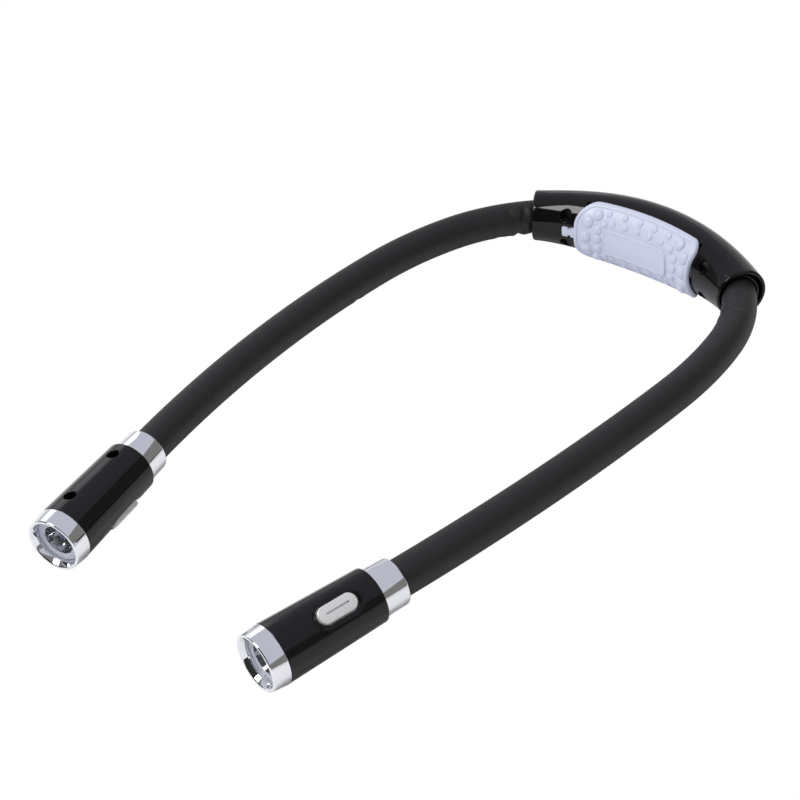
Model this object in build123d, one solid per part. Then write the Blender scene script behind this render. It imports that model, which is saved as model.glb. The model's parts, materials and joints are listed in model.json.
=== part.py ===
from build123d import *
from math import asin, atan2, cos, degrees, hypot, radians, sin, sqrt
import os

# Neck reading light: a battery housing behind the neck and a flexible neck with a lamp head on each side
# +Z is up and the light rests on Z = 0; the heads point to -Y and the wearer's left side is +X

# Battery housing: a crescent that swells in the middle
housing_bend_radius = 95
housing_end_reach = 25.6
housing_middle_height = 27.5
housing_front_depth = 11.9
housing_back_depth = 11.7
housing_end_depth = 19.7
housing_end_height = 19.9
housing_wall = 1.7
housing_swell_power = 1.5
seam_setback = 1
station_shares = (-1, -0.75, -0.5, -0.25, 0, 0.25, 0.5, 0.75, 1)
quarter_curve_share = 0.5523
cut_overrun = 3

# Battery door, its latch tab and hook, and the soft pad on it
pad_left_reach = 27.6
pad_right_reach = 26.2
pad_height = 26
pad_thickness = 1.6
pad_left_corner = 8.5
pad_right_corner = 4
pad_overlap = 1.4
pad_wrap_depth = 5
pad_lift = 0.3
door_gap = 0.4
door_height = 21.8
tab_height = 4.2
tab_reach = 6.6
tab_notch_width = 1.2
tab_notch_depth = 1.6
hook_height = 4.2
hook_reach = 2.6
hook_thickness = 1.2
hook_gap = 0.6
panel_length = 27.4
panel_height = 11.2
panel_corner = 2.4
panel_rise = 0.2
border_width = 2.3
field_depth = 0.15
dome_large_radius = 2
dome_medium_radius = 1.5
dome_small_radius = 1.15
dome_sink_share = 0.55
bump_root_share = 0.75

# Housing screws
screw_left_offset = 5
screw_right_offset = 6.4
housing_screw_rise = 12.2
screw_recess_radius = 2.2
screw_recess_depth = 5.4
screw_boss_wall = 1.05
screw_head_radius = 1.85
screw_head_height = 1.4
screw_shank_radius = 1.1
screw_length = 10
screw_hole_clearance = 0.15
pilot_clearance = 0.02

# Two AAA cells in their tray
cell_radius = 5.25
cell_length = 44.5
cell_nub_radius = 1.9
cell_nub_length = 1
cell_gap = 0.1
cell_setback = 1.3
tray_clearance = 0.25
tray_wall = 1.5
contact_room = 2.1
contact_thickness = 0.4
contact_plate_width = 7
spring_base_radius = 3
spring_tip_radius = 1.7
board_length = 24
board_height = 11
board_thickness = 1
chip_length = 6
chip_height = 5
chip_thickness = 0.8
chip_pitch = 9

# Flexible necks: a sleeve over a wound steel core, drawn as rigid lengths between ball joints
sleeve_radius = 6.5
core_radius = 3
core_bore_radius = 1.4
core_clearance = 0.1
joint_gap = 0.3
ball_step = 0.05
mouth_offset = 1.2
mouth_tilt = 20.5
neck_bend_radii = (85, 170, 636)
neck_bend_angles = (24.5, 13, 12)
root_bend_radius = 50
root_depth = 7
first_joint_travel = 9
neck_lengths = 4
ferrule_length = 5
ferrule_thickness = 0.5
ferrule_clearance = 0.35
rib_thickness = 2
rib_setback = 2

# Lamp heads, measured from the front rim backward
bezel_length = 6.3
bezel_front_radius = 10
bezel_rear_radius = 10.6
bezel_lip_radius = 8
bezel_mouth_radius = 9
bezel_rim_round = 0.7
bezel_bore_radius = 8.2
bezel_skirt_length = 3
bezel_skirt_radius = 8.9
bezel_lip_depth = 2.6
head_body_length = 38.2
head_front_radius = 10.5
head_rear_radius = 9.6
head_wall = 1.3
head_rear_wall = 1.6
fit_clearance = 0.05
lens_thickness = 1
reflector_depth = 5
reflector_flat_width = 2.1
reflector_throat_radius = 2.3
reflector_flat_drop = 0.3
led_board_thickness = 1
led_base_radius = 2.1
led_base_height = 1.2
led_dome_radius = 1.6

# Push button and the switch under it
button_travel = 0.7
button_length = 14.4
button_width = 5.8
button_proud = 0.9
button_flange_width = 0.6
button_flange_thickness = 0.9
button_slot_gap = 0.15
button_edge_round = 0.4
button_line_length = 8.6
button_line_width = 0.5
button_line_depth = 0.25
dimple_margin = 1.6
dimple_depth = 0.5
switch_size = 6
switch_plunger_radius = 1.7
switch_plunger_height = 0.6
switch_board_thickness = 1
switch_board_rise = 0.4
switch_board_gap = 0.2
left_head_roll = 20.4
right_head_roll = -81.6
button_turn = -36.6

# Head screws, in the half away from the button
front_room_share = 0.222
middle_room_share = 0.568
rear_room_share = 0.037
head_recess_radius = 2.2
head_recess_floor = 4.6
head_boss_wall = 0.8
head_screw_head_radius = 1.8
head_screw_head_height = 1.3
head_screw_shank_radius = 1
head_screw_reach = 5

# Chrome ring where the neck enters the head
ring_length = 9.5
ring_front_radius = 8.5
ring_rear_radius = 8.3
ring_edge_round = 0.6
ring_seat_depth = 8
ring_spigot_radius = 5
ring_wire_radius = 2.6
ring_bore_clearance = 0.15
ring_seat_gap = 0.1

# Places that follow from the sizes
half_angle = (pad_right_reach + housing_end_reach) / housing_bend_radius
mouth_heading = radians(90 - mouth_tilt) - half_angle
middle_z = housing_middle_height / 2
head_length = bezel_length + head_body_length + ring_length
neck_length = sum(radius * radians(turn) for radius, turn in zip(neck_bend_radii, neck_bend_angles))
widest_back = head_length - bezel_length
head_droop = asin(middle_z / hypot(widest_back, bezel_rear_radius)) - atan2(bezel_rear_radius, widest_back)


def plan_from_mouth(travel):
    """Plan place and heading on the left neck, counted from the housing's mouth, before the origin is set."""
    heading = mouth_heading
    mouth_radius = housing_bend_radius - mouth_offset
    x = mouth_radius * sin(half_angle)
    y = mouth_radius * cos(half_angle) - housing_bend_radius
    bends = [(root_bend_radius, travel)] if travel < 0 else []
    left_over = max(travel, 0)
    for radius, turn in zip(neck_bend_radii, neck_bend_angles):
        step = min(left_over, radius * radians(turn))
        bends.append((radius, step))
        left_over -= step
    for radius, step in bends:
        after = heading - step / radius
        x += radius * (cos(after) - cos(heading))
        y -= radius * (sin(heading) - sin(after))
        heading = after
    flat = left_over * cos(head_droop)
    return x + flat * sin(heading), y - flat * cos(heading), heading


tip_x, tip_y, tip_heading = plan_from_mouth(neck_length + head_length)
front_reach = tip_y - bezel_front_radius * abs(sin(tip_heading))
housing_middle_y = -(housing_back_depth + front_reach) / 2
bend_centre_y = housing_middle_y - housing_bend_radius


def neck_pitch(travel):
    """Climb of the neck: up out of the housing, down into the head."""
    share = min(max(travel / neck_length, 0), 1)
    return head_droop * (1 - 2 * share)


def neck_point(side, travel):
    """Point on a neck's centreline; side is 1 for left and -1 for right."""
    x, y, heading = plan_from_mouth(travel)
    inside = min(max(travel, 0), neck_length)
    arch = neck_length / (2 * head_droop) * (cos(neck_pitch(inside)) - cos(head_droop))
    z = middle_z + arch + min(travel, 0) * sin(head_droop) - max(travel - neck_length, 0) * sin(head_droop)
    return Vector(side * x, y + housing_middle_y, z)


def neck_direction(side, travel):
    """Unit vector along a neck, away from the housing."""
    heading = plan_from_mouth(travel)[2]
    pitch = neck_pitch(travel)
    return Vector(side * sin(heading) * cos(pitch), -cos(heading) * cos(pitch), sin(pitch))


joint_step = (neck_length - first_joint_travel) / neck_lengths
joint_travels = [first_joint_travel + joint_step * count for count in range(neck_lengths)]


# Housing surface
def swell(share):
    """1 in the middle of the crescent, 0 at its ends and past them."""
    return (1 - min(abs(share), 1) ** 2) ** housing_swell_power


def housing_section(share, growth):
    """One closed oval section at a share of the half angle, grown outward by growth."""
    turn = share * half_angle
    front = housing_end_depth / 2 + (housing_front_depth - housing_end_depth / 2) * swell(share) + growth
    back = housing_end_depth / 2 + (housing_back_depth - housing_end_depth / 2) * swell(share) + growth
    high = housing_end_height / 2 + (housing_middle_height - housing_end_height) / 2 * swell(share) + growth
    centre = (housing_bend_radius * sin(turn), bend_centre_y + housing_bend_radius * cos(turn), middle_z)
    plane = Plane(origin=centre, x_dir=(sin(turn), cos(turn), 0), z_dir=(cos(turn), -sin(turn), 0))
    curve = quarter_curve_share
    quarters = (
        ((-front, 0), (-front, high * curve), (-front * curve, high), (0, high)),
        ((0, high), (back * curve, high), (back, high * curve), (back, 0)),
        ((back, 0), (back, -high * curve), (back * curve, -high), (0, -high)),
        ((0, -high), (-front * curve, -high), (-front, -high * curve), (-front, 0)),
    )
    outline = Curve() + [Bezier(*quarter) for quarter in quarters]
    return plane * make_face(outline)


def housing_body(growth, overrun=0):
    """The crescent grown by growth, and lengthened past both ends by overrun."""
    shares = list(station_shares)
    if overrun:
        past = overrun / (housing_bend_radius * half_angle)
        shares = [shares[0] - past] + shares + [shares[-1] + past]
    return loft([housing_section(share, growth) for share in shares])


def front_y(x, growth=0):
    """Height of the crescent's neck face at middle height, as a Y, for a given X."""
    turn = asin(x / (housing_bend_radius - housing_front_depth))
    front = housing_end_depth / 2 + (housing_front_depth - housing_end_depth / 2) * swell(turn / half_angle)
    return bend_centre_y + (housing_bend_radius - front - growth) * cos(turn)


def face_block(x_low, x_high, height, y_low, y_high):
    """A block centred at middle height."""
    middle = ((x_low + x_high) / 2, (y_low + y_high) / 2, middle_z)
    return Pos(*middle) * Box(x_high - x_low, y_high - y_low, height)


def along_y(radius, y_low, y_high, x, z):
    """A round bar along Y."""
    return Pos(x, (y_low + y_high) / 2, z) * Rot(X=90) * Cylinder(radius, y_high - y_low)


near_y = front_y(pad_right_reach) - housing_front_depth
seam_radius = housing_bend_radius + seam_setback
tool_height = housing_middle_height * 2
outer_body = housing_body(0)
inner_body = housing_body(-housing_wall, cut_overrun)
seam_drum = Pos(0, bend_centre_y, middle_z) * Cylinder(seam_radius, tool_height)
bare_shell = outer_body - inner_body

screw_places = [
    (x, middle_z + up * housing_screw_rise / 2)
    for x in (-pad_left_reach - screw_left_offset, pad_right_reach + screw_right_offset)
    for up in (-1, 1)
]
recess_floor_y = front_y(pad_right_reach + screw_right_offset) + screw_recess_depth
recess_boss_radius = screw_recess_radius + screw_boss_wall
pilot_boss_radius = screw_shank_radius + screw_boss_wall + screw_hole_clearance
screw_end_y = recess_floor_y + screw_length - screw_head_height


def root_plane(side):
    """Plane across a neck's inner end, facing out of the housing."""
    return Plane(origin=neck_point(side, -root_depth), z_dir=neck_direction(side, -root_depth))


def rib_tool(side, radius, growth):
    """Slab or bore across a neck's root, where the shells grip the ferrule."""
    middle = rib_setback + rib_thickness / 2
    return root_plane(side) * Pos(0, 0, middle) * Cylinder(radius, rib_thickness + growth)


ferrule_radius = sleeve_radius + ferrule_clearance + ferrule_thickness
ribs = [
    (rib_tool(side, housing_middle_height, 0) & outer_body)
    - rib_tool(side, ferrule_radius + fit_clearance, cut_overrun)
    for side in (-1, 1)
]

door_left = pad_left_reach - pad_overlap
door_right = pad_right_reach - pad_overlap
far_y = housing_middle_y
opening = face_block(-door_left - door_gap, door_right + door_gap, door_height + 2 * door_gap, near_y, far_y)
tab_slot_left = door_left + tab_reach + door_gap
tab_slot = face_block(-tab_slot_left, -door_left, tab_height + 2 * door_gap, near_y, far_y)


def neck_shell():
    """Shell on the neck's side, with the door opening, screw recesses and half of each mouth."""
    shell = bare_shell + ribs
    for x, z in screw_places:
        boss = along_y(recess_boss_radius, near_y, housing_middle_y, x, z) & outer_body
        shell += boss
    shell = shell & seam_drum
    for x, z in screw_places:
        shell -= along_y(screw_recess_radius, near_y, recess_floor_y, x, z)
        shell -= along_y(screw_shank_radius + screw_hole_clearance, near_y, screw_end_y, x, z)
    return shell - opening - tab_slot


def back_shell():
    """Outer shell, with the pilot bosses and the other half of each mouth."""
    shell = bare_shell + ribs
    back_y = housing_middle_y + housing_back_depth
    for x, z in screw_places:
        boss = along_y(pilot_boss_radius, recess_floor_y, back_y, x, z) & outer_body
        shell += boss
    shell = shell - seam_drum
    for x, z in screw_places:
        shell -= along_y(screw_shank_radius + pilot_clearance, near_y, screw_end_y, x, z)
    return shell


def battery_door():
    """Door plate in the shell's thickness, with the latch tab at one end and the hook at the other."""
    layer = (housing_body(pad_lift - fit_clearance) - inner_body) & seam_drum
    plate = layer & face_block(-door_left, door_right, door_height, near_y, far_y)
    tab = layer & face_block(-door_left - tab_reach, -door_left + pad_overlap, tab_height, near_y, far_y)
    for up in (-1, 1):
        notch_z = up * tab_height / 2
        notch = face_block(-door_left - tab_reach / 2 - tab_notch_width, -door_left - tab_reach / 2,
                           tab_notch_depth, near_y, far_y)
        tab -= Pos(0, 0, notch_z) * notch
    hook_y = front_y(door_right) + housing_wall + hook_gap
    hook = face_block(door_right - hook_reach, door_right + hook_reach, hook_height,
                      hook_y, hook_y + hook_thickness)
    web_y = front_y(door_right - hook_reach) + pad_lift
    web = face_block(door_right - hook_reach, door_right - hook_reach / 2, hook_height,
                     web_y, hook_y + hook_thickness)
    return plate + tab + hook + web


# Bumps on the pad as shares of its half length and half height, in rings round the bare panel
large_dome_shares = (
    (-0.7, 0.72), (-0.82, 0.5), (-0.84, 0.03), (-0.8, -0.44), (-0.66, -0.72),
    (0.62, 0.77), (0.79, 0.56), (0.83, 0.14), (0.84, -0.22), (0.78, -0.6),
)
medium_dome_shares = (
    (-0.64, 0.31), (-0.64, 0.03), (-0.63, -0.26),
    (0.61, 0.39), (0.65, 0.12), (0.62, -0.14), (0.56, -0.36),
)
small_dome_row = 5
inner_row_pitch_share = 0.2
outer_row_pitch_share = 0.24
inner_row_share = 0.58
outer_row_share = 0.8
row_end_shares = (0.53, 0.52)


def small_dome_shares():
    """Two rows above the panel and two below it, with one more bump at each end of the inner rows."""
    places = []
    for up in (-1, 1):
        for count in range(small_dome_row):
            step = count - (small_dome_row - 1) / 2
            places.append((step * inner_row_pitch_share, up * inner_row_share))
            places.append((step * outer_row_pitch_share, up * outer_row_share))
        for side in (-1, 1):
            places.append((side * row_end_shares[0], up * row_end_shares[1]))
    return places


pad_middle_x = (pad_right_reach - pad_left_reach) / 2
pad_half_length = (pad_right_reach + pad_left_reach) / 2
pad_wall = Plane(origin=(0, far_y, middle_z), x_dir=(1, 0, 0), z_dir=(0, -1, 0))


def pad_outline_tool(inset=0):
    """The pad's outline seen from the neck, inset from its edge and drawn through along Y."""
    high = pad_height / 2 - inset
    left, right = inset - pad_left_reach, pad_right_reach - inset
    outline = make_face(Polyline((left, -high), (right, -high), (right, high), (left, high), close=True))
    outline = fillet(outline.vertices().sort_by(Axis.X)[:2], pad_left_corner - inset)
    outline = fillet(outline.vertices().sort_by(Axis.X)[-2:], pad_right_corner - inset)
    return extrude(pad_wall * outline, amount=far_y - near_y)


def pad_plane(across, up, growth):
    """Plane on the pad's face, Z outward, at shares of its half length and half height."""
    x = pad_middle_x + across * pad_half_length
    turn = asin(x / (housing_bend_radius - housing_front_depth))
    share = turn / half_angle
    front = housing_end_depth / 2 + (housing_front_depth - housing_end_depth / 2) * swell(share) + growth
    high = housing_end_height / 2 + (housing_middle_height - housing_end_height) / 2 * swell(share) + growth
    rise = up * pad_height / 2
    lean = asin(rise / high)
    reach = housing_bend_radius - front * cos(lean)
    place = Vector(reach * sin(turn), bend_centre_y + reach * cos(turn), middle_z + rise)
    level = cos(lean) / front
    return Plane(origin=place, z_dir=Vector(-sin(turn) * level, -cos(turn) * level, sin(lean) / high))


def pad_bump(radius):
    """A ball's cap on a short round root, with its foot at the origin."""
    root = -pad_thickness * bump_root_share
    equator = -radius * dome_sink_share
    top = equator + radius
    side = [
        Line((0, root), (radius, root)),
        Line((radius, root), (radius, equator)),
        RadiusArc((radius, equator), (0, top), -radius),
        Line((0, top), (0, root)),
    ]
    return revolve(make_face(Plane.XZ * (Curve() + side)), Axis.Z)


def soft_pad():
    """Soft cover on the door, with its border, its plain raised panel and its bumps."""
    border_growth = pad_lift + pad_thickness
    field_growth = border_growth - field_depth
    wrap_drum = Pos(0, bend_centre_y, middle_z) * Cylinder(housing_bend_radius - pad_wrap_depth, tool_height)
    wrap = pad_outline_tool() & wrap_drum
    under = housing_body(pad_lift)
    panel = pad_wall * Pos(pad_middle_x, 0) * RectangleRounded(panel_length, panel_height, panel_corner)
    panel_tool = extrude(panel, amount=far_y - near_y)
    field = housing_body(field_growth) + (housing_body(border_growth + panel_rise) & panel_tool)
    border = (housing_body(border_growth) - under) & (pad_outline_tool() - pad_outline_tool(border_width))
    pad = ((field - under) & wrap) + (border & wrap_drum)
    rounds = (
        (small_dome_shares(), dome_small_radius),
        (medium_dome_shares, dome_medium_radius),
        (large_dome_shares, dome_large_radius),
    )
    for places, radius in rounds:
        pad += [pad_plane(across, up, field_growth) * pad_bump(radius) for across, up in places]
    return pad


# Cells, tray, contacts and board
cell_y = housing_middle_y - cell_setback
cell_rise = cell_radius + cell_gap / 2
tray_half_length = cell_length / 2 + contact_room + tray_wall
tray_back_y = cell_y + cell_radius + tray_clearance + tray_wall


def along_x(radius, x_low, x_high, y, z):
    """A round bar along X."""
    return Pos((x_low + x_high) / 2, y, z) * Rot(Y=90) * Cylinder(radius, x_high - x_low)


def cell(up):
    """One cell; the upper one has its nub to the left and the lower one to the right."""
    z = middle_z + up * cell_rise
    can_length = cell_length - cell_nub_length
    can = along_x(cell_radius, -up * cell_nub_length / 2 - can_length / 2,
                  -up * cell_nub_length / 2 + can_length / 2, cell_y, z)
    nub_low, nub_high = sorted((0, up * cell_length / 2))
    return can + along_x(cell_nub_radius, nub_low, nub_high, cell_y, z)


def battery_tray():
    """Cradle behind the cells with an end wall for the contacts on each side."""
    room = housing_body(-housing_wall - tray_clearance)
    block = Pos(0, (cell_y + tray_back_y) / 2, middle_z) * Box(
        2 * tray_half_length, tray_back_y - cell_y, housing_middle_height)
    ends_front_y = cell_y - cell_radius
    ends = [
        face_block(min(side * tray_half_length, side * (tray_half_length - tray_wall)),
                   max(side * tray_half_length, side * (tray_half_length - tray_wall)),
                   4 * cell_radius, ends_front_y, tray_back_y)
        for side in (-1, 1)
    ]
    tray = (block + ends) & room
    bay_reach = cell_length / 2 + contact_room
    for up in (-1, 1):
        z = middle_z + up * cell_rise
        tray -= along_x(cell_radius + tray_clearance, -bay_reach, bay_reach, cell_y, z)
    for side in (-1, 1):
        low_x, high_x = sorted((side * cell_length / 2, side * bay_reach))
        tray -= face_block(low_x, high_x, housing_middle_height, ends_front_y,
                           cell_y + contact_plate_width / 2 + tray_clearance)
    return tray


def contact_plates():
    """Bridge plate on the left end wall and a plate for each cell on the right one."""
    reach = cell_length / 2 + contact_room
    low_y, high_y = cell_y - contact_plate_width / 2, cell_y + contact_plate_width / 2
    plates = [face_block(reach - contact_thickness, reach, 4 * cell_radius - contact_plate_width / 2,
                         low_y, high_y)]
    for up in (-1, 1):
        plate = face_block(-reach, -reach + contact_thickness, contact_plate_width, low_y, high_y)
        plates.append(Pos(0, 0, up * cell_rise) * plate)
    return Compound(children=plates)


def contact_springs():
    """A conical spring at each cell's flat end, drawn as its closed cone."""
    reach = cell_length / 2 + contact_room - contact_thickness
    springs = []
    for up in (-1, 1):
        low_x, high_x = cell_length / 2, reach
        cone = Pos(0, cell_y, middle_z + up * cell_rise) * Rot(Y=-up * 90) * Pos(0, 0, (low_x + high_x) / 2)
        springs.append(cone * Cone(spring_tip_radius, spring_base_radius, high_x - low_x))
    return Compound(children=springs)


def driver_board():
    """Small circuit board on the back of the tray, with its chips."""
    board = face_block(-board_length / 2, board_length / 2, board_height,
                       tray_back_y, tray_back_y + board_thickness)
    chip_y = tray_back_y + board_thickness
    for across in (-1, 0, 1):
        x = across * chip_pitch
        board += face_block(x - chip_length / 2, x + chip_length / 2, chip_height,
                            chip_y, chip_y + chip_thickness)
    return board


def housing_screws():
    """Four self-tapping screws, heads at the bottom of the recesses."""
    screws = []
    for x, z in screw_places:
        head = along_y(screw_head_radius, recess_floor_y - screw_head_height, recess_floor_y, x, z)
        screws.append(head + along_y(screw_shank_radius, recess_floor_y, screw_end_y, x, z))
    return Compound(children=screws)


def root_ferrule(side):
    """Metal band crimped round the sleeve's inner end, gripped by the shells' ribs."""
    bore = Cylinder(sleeve_radius + ferrule_clearance, ferrule_length)
    tube = Cylinder(ferrule_radius, ferrule_length) - bore
    return root_plane(side) * Pos(0, 0, ferrule_length / 2) * tube


# Necks
def neck_run(side, start, end, radius, straight=0):
    """A round bar along the neck between two travels, carried on by a straight stretch."""
    path = ThreePointArc(neck_point(side, start), neck_point(side, (start + end) / 2), neck_point(side, end))
    section = Plane(origin=path @ 0, z_dir=path % 0) * Circle(radius)
    if straight:
        path = Wire([path, Line(path @ 1, path @ 1 + (path % 1) * straight)])
    return sweep(section, path=path)


def ball(side, travel, radius):
    """A ball on the neck's centreline."""
    return Pos(*neck_point(side, travel)) * Sphere(radius)


neck_stops = [-root_depth] + joint_travels + [neck_length]


def neck_piece(side, count, radius, bore):
    """One rigid length of sleeve or core: a cup at its near joint and a ball at its far one."""
    start, end = neck_stops[count], neck_stops[count + 1]
    straight = ring_seat_depth - ring_seat_gap if count == neck_lengths else 0
    body = neck_run(side, start, end, radius, straight)
    if radius == sleeve_radius and not straight:
        body += ball(side, end, radius - ball_step)
    body -= neck_run(side, start, end, bore, straight)
    if count:
        body -= ball(side, start, sleeve_radius + joint_gap)
    return body


# Lamp heads, drawn with Z backward from the front rim and X away from the screws
def turned(points, side=1, arc=360):
    """A solid turned about Z from (radius, place) points, starting on the +Y or -Y side."""
    outline = Polyline(*[(0, side * radius, place) for radius, place in points], close=True)
    return revolve(make_face(outline), Axis.Z, arc)


def head_radius(place):
    """Outer radius of the black body."""
    share = (place - bezel_length) / head_body_length
    return head_front_radius + (head_rear_radius - head_front_radius) * share


body_end = bezel_length + head_body_length
skirt_end = bezel_length + bezel_skirt_length
spigot_bore_radius = ring_spigot_radius + fit_clearance
screw_boss_radius = head_recess_radius + head_boss_wall
pilot_post_radius = head_screw_shank_radius + head_boss_wall
lens_back = bezel_lip_depth + lens_thickness
reflector_back = lens_back + reflector_depth
led_board_back = reflector_back + led_board_thickness
insert_radius = bezel_bore_radius - fit_clearance

# Along the body: screw, button, screw, with the room left over shared out between them
flange_length = button_length + 2 * button_flange_width
filled_room = flange_length + 2 * (screw_boss_radius + pilot_post_radius)
free_room = body_end - head_rear_wall - led_board_back - filled_room
front_screw_place = led_board_back + free_room * front_room_share + screw_boss_radius
flange_start = front_screw_place + pilot_post_radius + free_room * middle_room_share
button_place = flange_start + flange_length / 2
rear_screw_place = flange_start + flange_length + free_room * rear_room_share + pilot_post_radius
head_screw_places = (front_screw_place, rear_screw_place)


def across_x(radius, x_low, x_high, place):
    """A round bar along the head's X at a place behind the rim."""
    return Pos((x_low + x_high) / 2, 0, place) * Rot(Y=90) * Cylinder(radius, x_high - x_low)


def obround(length, width, x_low, x_high):
    """A round-ended block on the head's X at the button's place."""
    plane = Plane(origin=(x_low, 0, button_place), x_dir=(0, 0, 1), z_dir=(1, 0, 0))
    return extrude(plane * SlotOverall(length, width), amount=x_high - x_low)


def to_button(solid):
    """Turns a solid drawn on the head's X round to the button's axis."""
    return Rot(Z=button_turn) * solid


def half_shell(side):
    """Half of the hollow body: -1 is the button's half and 1 the screws'."""
    inner_front, inner_rear = head_front_radius - head_wall, head_rear_radius - head_wall
    outline = (
        (inner_front, bezel_length),
        (head_front_radius, bezel_length),
        (head_rear_radius, body_end),
        (spigot_bore_radius, body_end),
        (spigot_bore_radius, body_end - head_rear_wall),
        (inner_rear, body_end - head_rear_wall),
    )
    return turned(outline, side, arc=180)


def head_core(growth):
    """The body's outer cone as a full solid, grown by growth."""
    return turned((
        (0, bezel_length),
        (head_front_radius + growth, bezel_length),
        (head_rear_radius + growth, body_end),
        (0, body_end),
    ))


def button_half():
    """Half shell with the button's slot in its dimple, and the screws' pilot posts."""
    shell = half_shell(-1)
    for place in head_screw_places:
        shell += across_x(pilot_post_radius, 0, head_front_radius, place) & head_core(0)
    for place in head_screw_places:
        shell -= across_x(head_screw_shank_radius + pilot_clearance, 0, head_screw_reach, place)
    dimple_length, dimple_width = button_length + 2 * dimple_margin, button_width + 2 * dimple_margin
    dimple = obround(dimple_length, dimple_width, 0, 2 * head_front_radius)
    shell -= to_button(dimple - head_core(-dimple_depth))
    slot_length, slot_width = button_length + 2 * button_slot_gap, button_width + 2 * button_slot_gap
    return shell - to_button(obround(slot_length, slot_width, 0, 2 * head_front_radius))


def screw_half():
    """Half shell with the two screw recesses."""
    shell = half_shell(1)
    for place in head_screw_places:
        shell += across_x(screw_boss_radius, -head_front_radius, 0, place) & head_core(0)
    for place in head_screw_places:
        shell -= across_x(head_recess_radius, -2 * head_front_radius, -head_recess_floor, place)
        shell -= across_x(head_screw_shank_radius + screw_hole_clearance, -head_front_radius, 0, place)
    return shell


def bezel():
    """Chrome front ring with a rounded rim, a lip before the lens and a skirt inside the body."""
    outline = (
        (bezel_lip_radius, bezel_lip_depth),
        (bezel_mouth_radius, bezel_rim_round),
        (bezel_mouth_radius + bezel_rim_round / 2, 0),
        (bezel_front_radius - bezel_rim_round / 2, 0),
        (bezel_front_radius, bezel_rim_round),
        (bezel_rear_radius, bezel_length),
        (bezel_skirt_radius, bezel_length),
        (bezel_skirt_radius, skirt_end),
        (bezel_bore_radius, skirt_end),
        (bezel_bore_radius, bezel_lip_depth),
    )
    return turned(outline)


def lens():
    """Clear front disc behind the bezel's lip."""
    return Pos(0, 0, bezel_lip_depth + lens_thickness / 2) * Cylinder(insert_radius, lens_thickness)


def reflector():
    """Bright insert: a flat annulus round a bowl with the lamp in its throat."""
    flat = lens_back + reflector_flat_drop
    outline = (
        (insert_radius, flat),
        (insert_radius, reflector_back),
        (reflector_throat_radius, reflector_back),
        (reflector_throat_radius, reflector_back - led_base_height),
        (insert_radius - reflector_flat_width, flat),
    )
    return turned(outline)


def led():
    """Lamp on its base, in the reflector's throat."""
    base = Pos(0, 0, reflector_back - led_base_height / 2) * Cylinder(led_base_radius, led_base_height)
    dome = Sphere(led_dome_radius, arc_size2=0)
    return base + Pos(0, 0, reflector_back - led_base_height) * dome


def led_board():
    """Round board that closes the reflector."""
    return Pos(0, 0, reflector_back + led_board_thickness / 2) * Cylinder(insert_radius, led_board_thickness)


button_top = head_radius(button_place) + button_proud
slot_corner = button_width / 2 + button_flange_width
inner_at_button = head_radius(button_place + button_length / 2) - head_wall
flange_top = sqrt(inner_at_button ** 2 - slot_corner ** 2) - fit_clearance * 2
flange_bottom = flange_top - button_flange_thickness


def push_button():
    """Round-ended button with its flange inside the body and a line engraved on top."""
    cap = obround(button_length, button_width, flange_top, button_top)
    cap = chamfer(cap.faces().sort_by(Axis.X)[-1].edges(), button_edge_round)
    flange = obround(flange_length, button_width + 2 * button_flange_width, flange_bottom, flange_top)
    line = obround(button_line_length, button_line_width, button_top - button_line_depth, button_top)
    return to_button(cap + flange - line)


plunger_top = flange_bottom - button_travel - fit_clearance
board_top = switch_board_rise + switch_board_thickness


def switch():
    """Small push switch under the button."""
    body_top = plunger_top - switch_plunger_height
    middle = Pos((board_top + body_top) / 2, 0, button_place)
    body = middle * Box(body_top - board_top, switch_size, switch_size)
    return to_button(body + across_x(switch_plunger_radius, body_top, plunger_top, button_place))


def switch_board():
    """Board that carries the switch, from the rear screw's boss forward and close to the body's wall."""
    carrier_reach = rear_screw_place - screw_boss_radius - switch_board_gap - button_place
    inner = head_radius(button_place + carrier_reach) - head_wall
    half_width = sqrt(inner ** 2 - board_top ** 2) - switch_board_gap
    middle = Pos((switch_board_rise + board_top) / 2, 0, button_place)
    return to_button(middle * Box(switch_board_thickness, 2 * half_width, 2 * carrier_reach))


def rear_ring():
    """Chrome ring: a spigot into the body, a wire hole and a bore for the neck."""
    rear = body_end + ring_length
    seat = rear - ring_seat_depth
    outline = (
        (ring_wire_radius, body_end - head_rear_wall),
        (ring_spigot_radius, body_end - head_rear_wall),
        (ring_spigot_radius, body_end),
        (ring_front_radius - ring_edge_round, body_end),
        (ring_front_radius, body_end + ring_edge_round),
        (ring_rear_radius, rear - ring_edge_round),
        (ring_rear_radius - ring_edge_round, rear),
        (sleeve_radius + ring_bore_clearance, rear),
        (sleeve_radius + ring_bore_clearance, seat),
        (ring_wire_radius, seat),
    )
    return turned(outline)


def head_screws():
    """Two screws from the plain half into the button half."""
    screws = []
    for place in head_screw_places:
        seat = -head_recess_floor
        head = across_x(head_screw_head_radius, seat - head_screw_head_height, seat, place)
        screws.append(head + across_x(head_screw_shank_radius, seat, head_screw_reach, place))
    return Compound(children=screws)


def head_plane(side):
    """Head frame: origin at the rim's centre, Z backward along the head and X away from the screws."""
    forward = neck_direction(side, neck_length)
    backward = -forward
    level = backward.cross(Vector(0, 0, 1)).normalized()
    upright = level.cross(backward)
    roll = radians(left_head_roll if side > 0 else right_head_roll)
    across = level * cos(roll) + upright * sin(roll)
    return Plane(origin=neck_point(side, neck_length + head_length), x_dir=across, z_dir=backward)


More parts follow.
